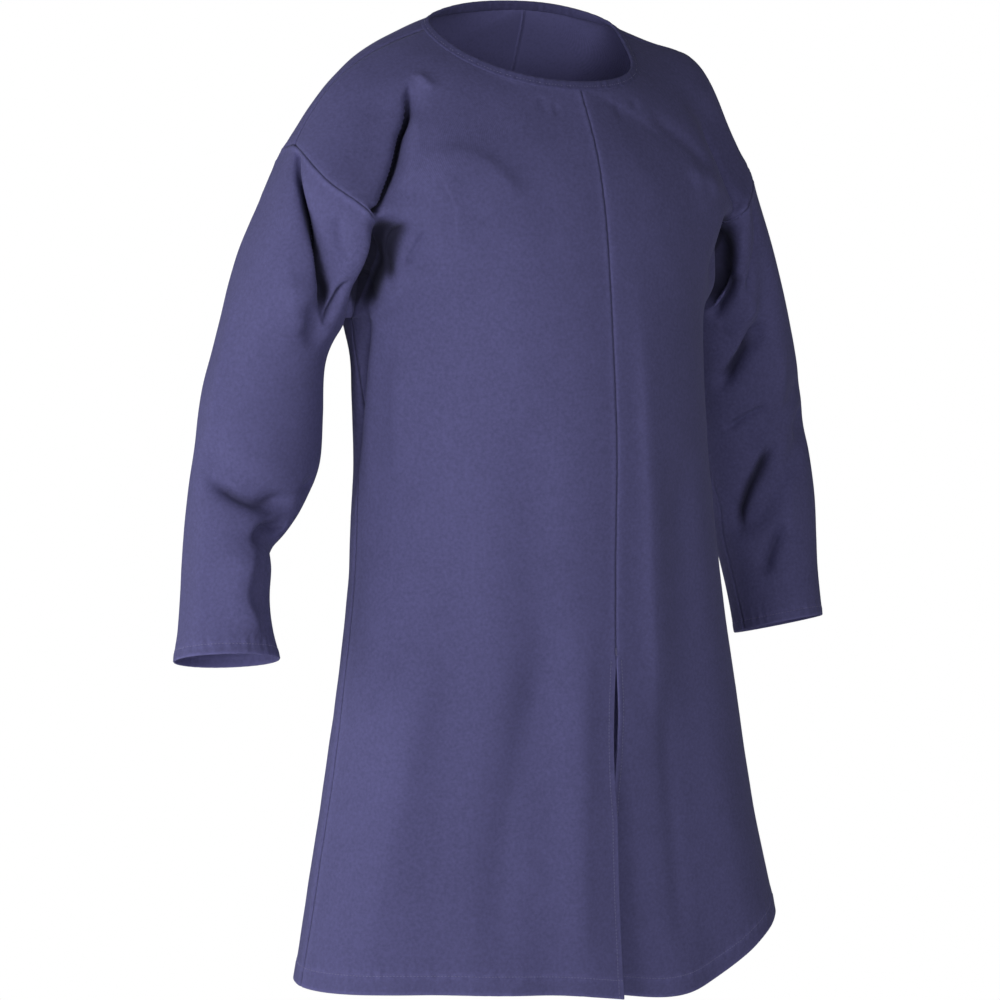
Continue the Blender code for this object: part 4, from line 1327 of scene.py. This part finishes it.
def row_at(cloth, lengths, target):
    """The cloth's row whose mean length along is nearest to the target, with its normals."""
    row = np.argmin(np.abs(lengths.mean(axis=1) - target))
    return cloth.points[row], cloth.normals[row]


def around_closed(points, normals):
    """A ring's points and normals with its first one again at the end."""
    return np.concatenate([points, points[:1]]), np.concatenate([normals, normals[:1]])


def tack_rows(cloth):
    """Short rows across the top of the slit, one stitch each, close above each other."""
    drop = -cloth.points[:, 0, 2]
    middle = np.argmin(np.abs(drop - SLIT_TOP_DROP))
    place, normal = cloth.points[middle, 0], cloth.normals[middle, 0]
    upward = unit(cloth.points[middle + 1, 0] - place)
    sideways = np.cross(normal, upward)
    half = np.array([[-TACK_HALF_LENGTH], [TACK_HALF_LENGTH]])
    rows = []
    for step in np.arange(TACK_STITCHES) * TACK_STEP:
        ends = place + SEAM_DIP * normal + step * upward + half * sideways
        rows.append((ends, np.stack([normal, normal])))
    return rows


def new_material(name):
    """A material with an emptied tree, its shader and its output."""
    material = bpy.data.materials.new(name)
    material.use_nodes = True
    tree = material.node_tree
    tree.nodes.clear()
    output = tree.nodes.new("ShaderNodeOutputMaterial")
    shader = tree.nodes.new("ShaderNodeBsdfPrincipled")
    tree.links.new(shader.outputs["BSDF"], output.inputs["Surface"])
    return material, tree, shader


def feed(tree, socket, value):
    """Gives a socket a link, or a constant where the value is no socket."""
    if isinstance(value, bpy.types.NodeSocket):
        tree.links.new(value, socket)
    else:
        socket.default_value = value


def new_node(tree, kind, inputs):
    """A shader node with the links and constants of its named inputs."""
    node = tree.nodes.new("ShaderNode" + kind)
    for name, value in inputs.items():
        feed(tree, node.inputs[name], value)
    return node


def math_node(tree, operation, first, second=None):
    """A math node on one or two links or numbers."""
    node = tree.nodes.new("ShaderNodeMath")
    node.operation = operation
    for socket, value in zip(node.inputs, (first, second)):
        if value is not None:
            feed(tree, socket, value)
    return node.outputs[0]


def noise(tree, place, scale, detail):
    """Noise around one half."""
    return new_node(tree, "TexNoise", {"Vector": place, "Scale": scale, "Detail": detail}).outputs["Fac"]


def map_range(tree, value, start, end, low, high):
    """A value between start and end carried over to between low and high."""
    ranges = {"From Min": start, "From Max": end, "To Min": low, "To Max": high}
    return new_node(tree, "MapRange", {"Value": value, **ranges}).outputs["Result"]


def colour_mix(tree, blend, factor, first, second):
    """Two colours blended in the way named, as strongly as the factor."""
    node = tree.nodes.new("ShaderNodeMix")
    node.data_type = "RGBA"
    node.blend_type = blend
    for name, value in (("Factor", factor), ("A", first), ("B", second)):
        feed(tree, node.inputs[name], value)
    return node.outputs["Result"]


def new_group(name, inputs, outputs):
    """A shader node group with sockets of the kinds named, and its first and last nodes."""
    tree = bpy.data.node_groups.new(name, "ShaderNodeTree")
    for way, sockets in (("INPUT", inputs), ("OUTPUT", outputs)):
        for socket, kind in sockets.items():
            tree.interface.new_socket(name=socket, in_out=way, socket_type="NodeSocket" + kind)
    return tree, tree.nodes.new("NodeGroupInput"), tree.nodes.new("NodeGroupOutput")


def weave_group():
    """Drill weave: diagonal ribs, a sine of u plus v over their spacing, broken up by a finer sine
    across them and by noise. Puts out a height and a shade, both around one half."""
    name = "drill weave"
    if name in bpy.data.node_groups:
        return bpy.data.node_groups[name]
    inputs = {"Place": "Vector", "Rib Spacing": "Float"}
    tree, start, finish = new_group(name, inputs, {"Height": "Float", "Shade": "Float"})
    place = start.outputs["Place"]

    def add(first, second):
        return math_node(tree, "ADD", first, second)

    def times(first, second):
        return math_node(tree, "MULTIPLY", first, second)

    split = new_node(tree, "SeparateXYZ", {"Vector": place})
    u, v = split.outputs[:2]
    turn = math_node(tree, "DIVIDE", 2 * math.pi, start.outputs["Rib Spacing"])
    waver = times(noise(tree, place, RIB_WAVER_SCALE, WEAVE_DETAIL), RIB_WAVER)
    rib = math_node(tree, "SINE", add(times(add(u, v), turn), waver))
    finer = times(times(math_node(tree, "SUBTRACT", u, v), turn), YARN_FINENESS)
    yarn = math_node(tree, "SINE", add(finer, waver))
    woven = add(times(rib, RIB_HEIGHT), times(yarn, YARN_HEIGHT))
    tree.links.new(add(woven, 0.5), finish.inputs["Height"])
    slub = noise(tree, place, SLUB_SCALE, WEAVE_DETAIL)
    mottle = times(math_node(tree, "SUBTRACT", slub, 0.5), SLUB_SHADE)
    shade = add(times(woven, WEAVE_SHADE), mottle)
    tree.links.new(add(shade, 0.5), finish.inputs["Shade"])
    return tree


def fade_group():
    """Uneven dye: broad and small noise on the object's own coordinates, with the wear added, which paints
    it paler, and the painted shade of folds and seam lines, which paints it deeper.
    Puts out how pale the dye is, 0 full to 1 palest."""
    name = "uneven dye"
    if name in bpy.data.node_groups:
        return bpy.data.node_groups[name]
    tree, start, finish = new_group(name, {"Place": "Vector", "Rubbed": "Float"}, {"Paleness": "Float"})
    total = math_node(tree, "MULTIPLY", start.outputs["Rubbed"], DYE_WEAR_AND_SHADE_SHARE)
    for patch in DYE_PATCHES:
        patchy = noise(tree, start.outputs["Place"], patch.scale, DYE_DETAIL)
        part = math_node(tree, "MULTIPLY", math_node(tree, "SUBTRACT", patchy, 0.5), patch.share)
        total = math_node(tree, "ADD", total, part)
    pale = math_node(tree, "ADD", total, DYE_MIDDLE)
    pale.node.use_clamp = True
    tree.links.new(pale, finish.inputs["Paleness"])
    return tree


def group_node(tree, group, inputs):
    """A node that runs a group, with the links and constants of its named inputs."""
    node = tree.nodes.new("ShaderNodeGroup")
    node.node_tree = group
    for name, value in inputs.items():
        feed(tree, node.inputs[name], value)
    return node


def scaled(colour, factor):
    """A colour lighter or darker by a factor."""
    return (*[min(1.0, channel * factor) for channel in colour[:3]], 1.0)


def dyed(tree, colour, worn_and_shaded):
    """A colour between its deep and its pale tone by the dye group."""
    place = tree.nodes.new("ShaderNodeTexCoord").outputs["Object"]
    # The dye group paints the colour paler for wear and deeper for painted shade
    dye = group_node(tree, fade_group(), {"Place": place, "Rubbed": worn_and_shaded})
    deep, pale = scaled(colour, DYE_DEEP), scaled(colour, DYE_PALE)
    return colour_mix(tree, "MIX", dye.outputs["Paleness"], deep, pale)


def raise_surface(tree, shader, height, strength, distance):
    """Gives a shader a fine bump of the height."""
    inputs = {"Strength": strength, "Distance": distance, "Height": height}
    tree.links.new(new_node(tree, "Bump", inputs).outputs["Normal"], shader.inputs["Normal"])


def drill_material(name, colour, context):
    """Cotton drill: dye that is uneven and worn pale at the edges, with painted shade darkening it deep in
    the folds and along the seams, darker between the ribs, with a soft sheen and the weave as a fine bump."""
    if name in bpy.data.materials:
        return bpy.data.materials[name]
    material, tree, shader = new_material(name)
    cloth_map = tree.nodes.new("ShaderNodeUVMap")
    cloth_map.uv_map = "cloth"
    attribute = tree.nodes.new("ShaderNodeAttribute")
    attribute.attribute_name = "rub"
    worn_and_shaded = attribute.outputs["Fac"]
    spacing = context.scene.tunic_cloth.rib_spacing
    weave = group_node(tree, weave_group(), {"Place": cloth_map.outputs["UV"], "Rib Spacing": spacing})
    height = weave.outputs["Height"]
    pale = dyed(tree, colour, worn_and_shaded)
    shade = map_range(tree, weave.outputs["Shade"], 0.0, 1.0, WEAVE_DARKEST, WEAVE_LIGHTEST)
    ribbed = colour_mix(tree, "MULTIPLY", WEAVE_SHARE, pale, shade)
    # Painted shade: the colour multiplied darker where the attribute is negative, deep in folds and along
    # seam lines
    painted_shade_factor = map_range(tree, worn_and_shaded, -1.0, 0.0, PAINTED_SHADE_DARKEST, 1.0)
    colour_with_painted_shade = colour_mix(tree, "MULTIPLY", 1.0, ribbed, painted_shade_factor)
    tree.links.new(colour_with_painted_shade, shader.inputs["Base Color"])
    rough = map_range(tree, height, 0.0, 1.0, WEAVE_ROUGH_LOW, WEAVE_ROUGH_HIGH)
    tree.links.new(rough, shader.inputs["Roughness"])
    raise_surface(tree, shader, height, 0.35, 0.00025)
    shader.inputs["Specular IOR Level"].default_value = 0.25
    shader.inputs["Sheen Weight"].default_value = 0.08
    shader.inputs["Sheen Roughness"].default_value = 0.45
    shader.inputs["Sheen Tint"].default_value = (0.62, 0.64, 1.0, 1.0)
    material.diffuse_color = colour
    return material


def cloth_material(context):
    return drill_material("indigo drill", tuple(context.scene.tunic_cloth.colour), context)


def binding_material(context):
    return drill_material("indigo binding", tuple(context.scene.tunic_cloth.binding_colour), context)


def thread_material(context):
    """Twisted cotton thread: the dye's unevenness and fine twist lines on the object's coordinates."""
    name = "indigo thread"
    if name in bpy.data.materials:
        return bpy.data.materials[name]
    colour = tuple(context.scene.tunic_cloth.thread_colour)
    material, tree, shader = new_material(name)
    tree.links.new(dyed(tree, colour, 0.0), shader.inputs["Base Color"])
    place = tree.nodes.new("ShaderNodeTexCoord").outputs["Object"]
    twist = new_node(tree, "TexWave", {"Vector": place, "Scale": THREAD_TWIST_SCALE})
    twist.bands_direction = "DIAGONAL"
    raise_surface(tree, shader, twist.outputs["Fac"], 0.3, 0.0001)
    shader.inputs["Roughness"].default_value = 0.7
    shader.inputs["Sheen Weight"].default_value = 0.2
    material.diffuse_color = colour
    return material


# Flat cut of what shows: width, length and cloth area
Cut = namedtuple("Cut", "width length area")


def sew_piece(name, context):
    """Makes one cloth piece and puts it in place of its solid."""
    cloth = sewn_cloth(sewing_sizes(context))[name]
    piece = cloth_mesh(name + "_cloth", cloth, cloth_material(context))
    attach(piece, "root")
    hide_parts(name)


class TUNIC_OT_body_panels(bpy.types.Operator):
    """Sews the two front and two back panels over their solids"""

    bl_idname = "tunic.body_panels"
    bl_label = "Body panels"

    def execute(self, context):
        for front, side in PANELS:
            sew_piece(panel_name(front, side), context)
        return {"FINISHED"}


class TUNIC_OT_sleeves(bpy.types.Operator):
    """Sews the two sleeves over their solids"""

    bl_idname = "tunic.sleeves"
    bl_label = "Sleeves"

    def execute(self, context):
        for side in SIDES:
            sew_piece("sleeve_" + side, context)
        return {"FINISHED"}


class TUNIC_OT_neck_binding(bpy.types.Operator):
    """Folds the narrow strip round the neck edge"""

    bl_idname = "tunic.neck_binding"
    bl_label = "Neck binding"

    def execute(self, context):
        surface = binding_surface()
        rings, sides = surface.shape[:2]
        faces = ring_faces(rings, sides)
        piece = mesh_piece("neck_binding_cloth", surface.reshape(-1, 3), faces, binding_material(context))
        ends = np.concatenate([surface, surface[:1]])
        along = run_length(ends.mean(axis=1), 0)
        step = np.linalg.norm(np.roll(surface, -1, axis=1) - surface, axis=-1).mean(axis=0)
        across = np.concatenate([[0.0], np.cumsum(step)])
        place = np.stack(np.meshgrid(along, across, indexing="ij"), axis=-1).reshape(-1, 2)
        slot = np.arange(len(place)).reshape(rings + 1, sides + 1)
        corners = quads(slot[:-1, :-1], slot[1:, :-1], slot[1:, 1:], slot[:-1, 1:])
        layer = piece.data.uv_layers.new(name="cloth")
        layer.uv.foreach_set("vector", place[corners].astype(np.float32).ravel())
        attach(piece, "root")
        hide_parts("neck_binding")
        return {"FINISHED"}


class TUNIC_OT_stitching(bpy.types.Operator):
    """Stitches the hem, cuffs, slit edges, binding and the bar tack over the slit"""

    bl_idname = "tunic.stitching"
    bl_label = "Stitching"

    def execute(self, context):
        cloths = sewn_cloth(sewing_sizes(context))
        sizes = context.scene.tunic_cloth
        thread = thread_material(context)
        hem = []
        slit = []
        for front, side in PANELS:
            cloth = cloths[panel_name(front, side)]
            hem.append(row_at(cloth, cloth.up, sizes.hem_depth))
            if front:
                path, normals = across_at(cloth, SLIT_STITCH_INSET)
                lower = -path[:, 2] > SLIT_TOP_DROP
                slit.append((path[lower], normals[lower]))
        cuffs = []
        for side in SIDES:
            cloth = cloths["sleeve_" + side]
            cuffs.append(around_closed(*row_at(cloth, cloth.up[-1:] - cloth.up, sizes.cuff_depth)))
        base, upward, outward = neck_frame(BINDING_QUARTER)
        height = BINDING_RAISE - STITCH_GROOVE
        ring = base + BINDING_STITCH_INSET * upward + height * outward
        rows = {
            "hem_stitches": (hem, "cloth"),
            "slit_stitches": (slit, "cloth"),
            "cuff_stitches": (cuffs, "cloth"),
            "binding_stitches": ([around_closed(ring, outward)], "binding"),
            "bar_tack": (tack_rows(cloths["front_right"]), "cloth"),
        }
        for name, (paths, slot) in rows.items():
            stitch_piece(name, paths, thread, context)
        return {"FINISHED"}


def aimed_object(name, data, azimuth, elevation, distance, target):
    """An object that faces the target from a direction in radians round and up."""
    level = math.cos(elevation)
    back = Vector((math.sin(azimuth) * level, -math.cos(azimuth) * level, math.sin(elevation)))
    aimed = bpy.data.objects.new(name, data)
    aimed.location = target + distance * back
    aimed.rotation_euler = back.to_track_quat("Z", "Y").to_euler()
    bpy.context.scene.collection.objects.link(aimed)
    return aimed


def area_light(lamp, power):
    """A square soft light that faces the tunic."""
    light = bpy.data.lights.new(lamp.name, "AREA")
    light.size = lamp.size
    light.energy = power
    turn, rise = math.radians(lamp.azimuth), math.radians(lamp.elevation)
    aimed_object(lamp.name, light, turn, rise, LAMP_DISTANCE, LAMP_TARGET)


def photo_camera():
    """The camera that sees the tunic as the photograph does."""
    lens = bpy.data.cameras.new("camera")
    lens.lens = CAMERA_LENS
    lens.sensor_width = CAMERA_SENSOR
    return aimed_object("camera", lens, CAMERA_AZIMUTH, CAMERA_ELEVATION, CAMERA_DISTANCE, CAMERA_TARGET)


def white_to_camera(tree, output_socket, lit):
    """Joins a lit shader and a plain white one by whether the camera sees the place directly."""
    path = tree.nodes.new("ShaderNodeLightPath")
    white = tree.nodes.new("ShaderNodeEmission")
    mix = tree.nodes.new("ShaderNodeMixShader")
    tree.links.new(path.outputs["Is Camera Ray"], mix.inputs[0])
    tree.links.new(lit, mix.inputs[1])
    tree.links.new(white.outputs[0], mix.inputs[2])
    tree.links.new(mix.outputs[0], output_socket)


def floor_disc():
    """A pale disc of rings and spokes, white where the camera sees it directly."""
    material, tree, shader = new_material("pale floor")
    shader.inputs["Base Color"].default_value = (0.85, 0.85, 0.85, 1.0)
    shader.inputs["Roughness"].default_value = 0.9
    output = next(node for node in tree.nodes if node.type == "OUTPUT_MATERIAL")
    white_to_camera(tree, output.inputs["Surface"], shader.outputs["BSDF"])
    rings = np.linspace(FLOOR_PINHOLE, FLOOR_RADIUS, FLOOR_RINGS)
    spokes = np.linspace(0, 2 * math.pi, FLOOR_SPOKES, endpoint=False)
    radius, turn = np.meshgrid(rings, spokes)
    level = np.full_like(radius, FLOOR_Z)
    disc = np.stack([radius * np.cos(turn), radius * np.sin(turn), level], axis=-1)
    number = np.arange(radius.size).reshape(radius.shape)
    ahead = np.roll(number, -1, axis=0)
    faces = quads(number[:, :-1], number[:, 1:], ahead[:, 1:], ahead[:, :-1])
    return mesh_piece("floor", disc.reshape(-1, 3), faces, material)


def white_room(strength):
    """A world that lights evenly and is plain white to the camera."""
    world = bpy.data.worlds.new("room")
    world.use_nodes = True
    tree = world.node_tree
    tree.nodes.clear()
    sky = new_node(tree, "Background", {"Color": (1.0, 1.0, 1.0, 1.0), "Strength": strength})
    output = tree.nodes.new("ShaderNodeOutputWorld")
    white_to_camera(tree, output.inputs["Surface"], sky.outputs[0])
    return world


class TUNIC_OT_stage(bpy.types.Operator):
    """Sets the camera, the pale floor and the soft studio light"""

    bl_idname = "tunic.stage"
    bl_label = "Stage"

    def execute(self, context):
        scene = context.scene
        stage = scene.tunic_stage
        scene.camera = photo_camera()
        floor_disc()
        powers = (stage.key_power, stage.edge_power, stage.front_power, stage.side_power)
        for lamp, power in zip(LAMPS, powers):
            area_light(lamp, power)
        scene.world = white_room(stage.room_light)
        scene.view_settings.view_transform = "Standard"
        return {"FINISHED"}


class TUNIC_PT_panel(bpy.types.Panel):
    """Lists the tunic's sizes and the steps that make it"""

    bl_idname = "TUNIC_PT_panel"
    bl_label = "Tunic"
    bl_space_type = "VIEW_3D"
    bl_region_type = "UI"
    bl_category = "Tunic"

    def draw(self, context):
        for group in (context.scene.tunic_cloth, context.scene.tunic_stage):
            box = self.layout.box()
            for name in group.__annotations__:
                box.prop(group, name)
        for step in STEPS:
            self.layout.operator(step.bl_idname)


STEPS = (
    TUNIC_OT_stage,
    TUNIC_OT_body_panels,
    TUNIC_OT_sleeves,
    TUNIC_OT_neck_binding,
    TUNIC_OT_stitching,
)
CLASSES = (TunicCloth, TunicStage, *STEPS, TUNIC_PT_panel)


def register():
    for item in CLASSES:
        bpy.utils.register_class(item)
    bpy.types.Scene.tunic_cloth = bpy.props.PointerProperty(type=TunicCloth)
    bpy.types.Scene.tunic_stage = bpy.props.PointerProperty(type=TunicStage)


def unregister():
    del bpy.types.Scene.tunic_stage
    del bpy.types.Scene.tunic_cloth
    for item in reversed(CLASSES):
        bpy.utils.unregister_class(item)


def main():
    register()
    bpy.ops.tunic.stage()
    bpy.ops.tunic.body_panels()
    bpy.ops.tunic.sleeves()
    bpy.ops.tunic.neck_binding()
    bpy.ops.tunic.stitching()


if __name__ == "__main__":
    main()
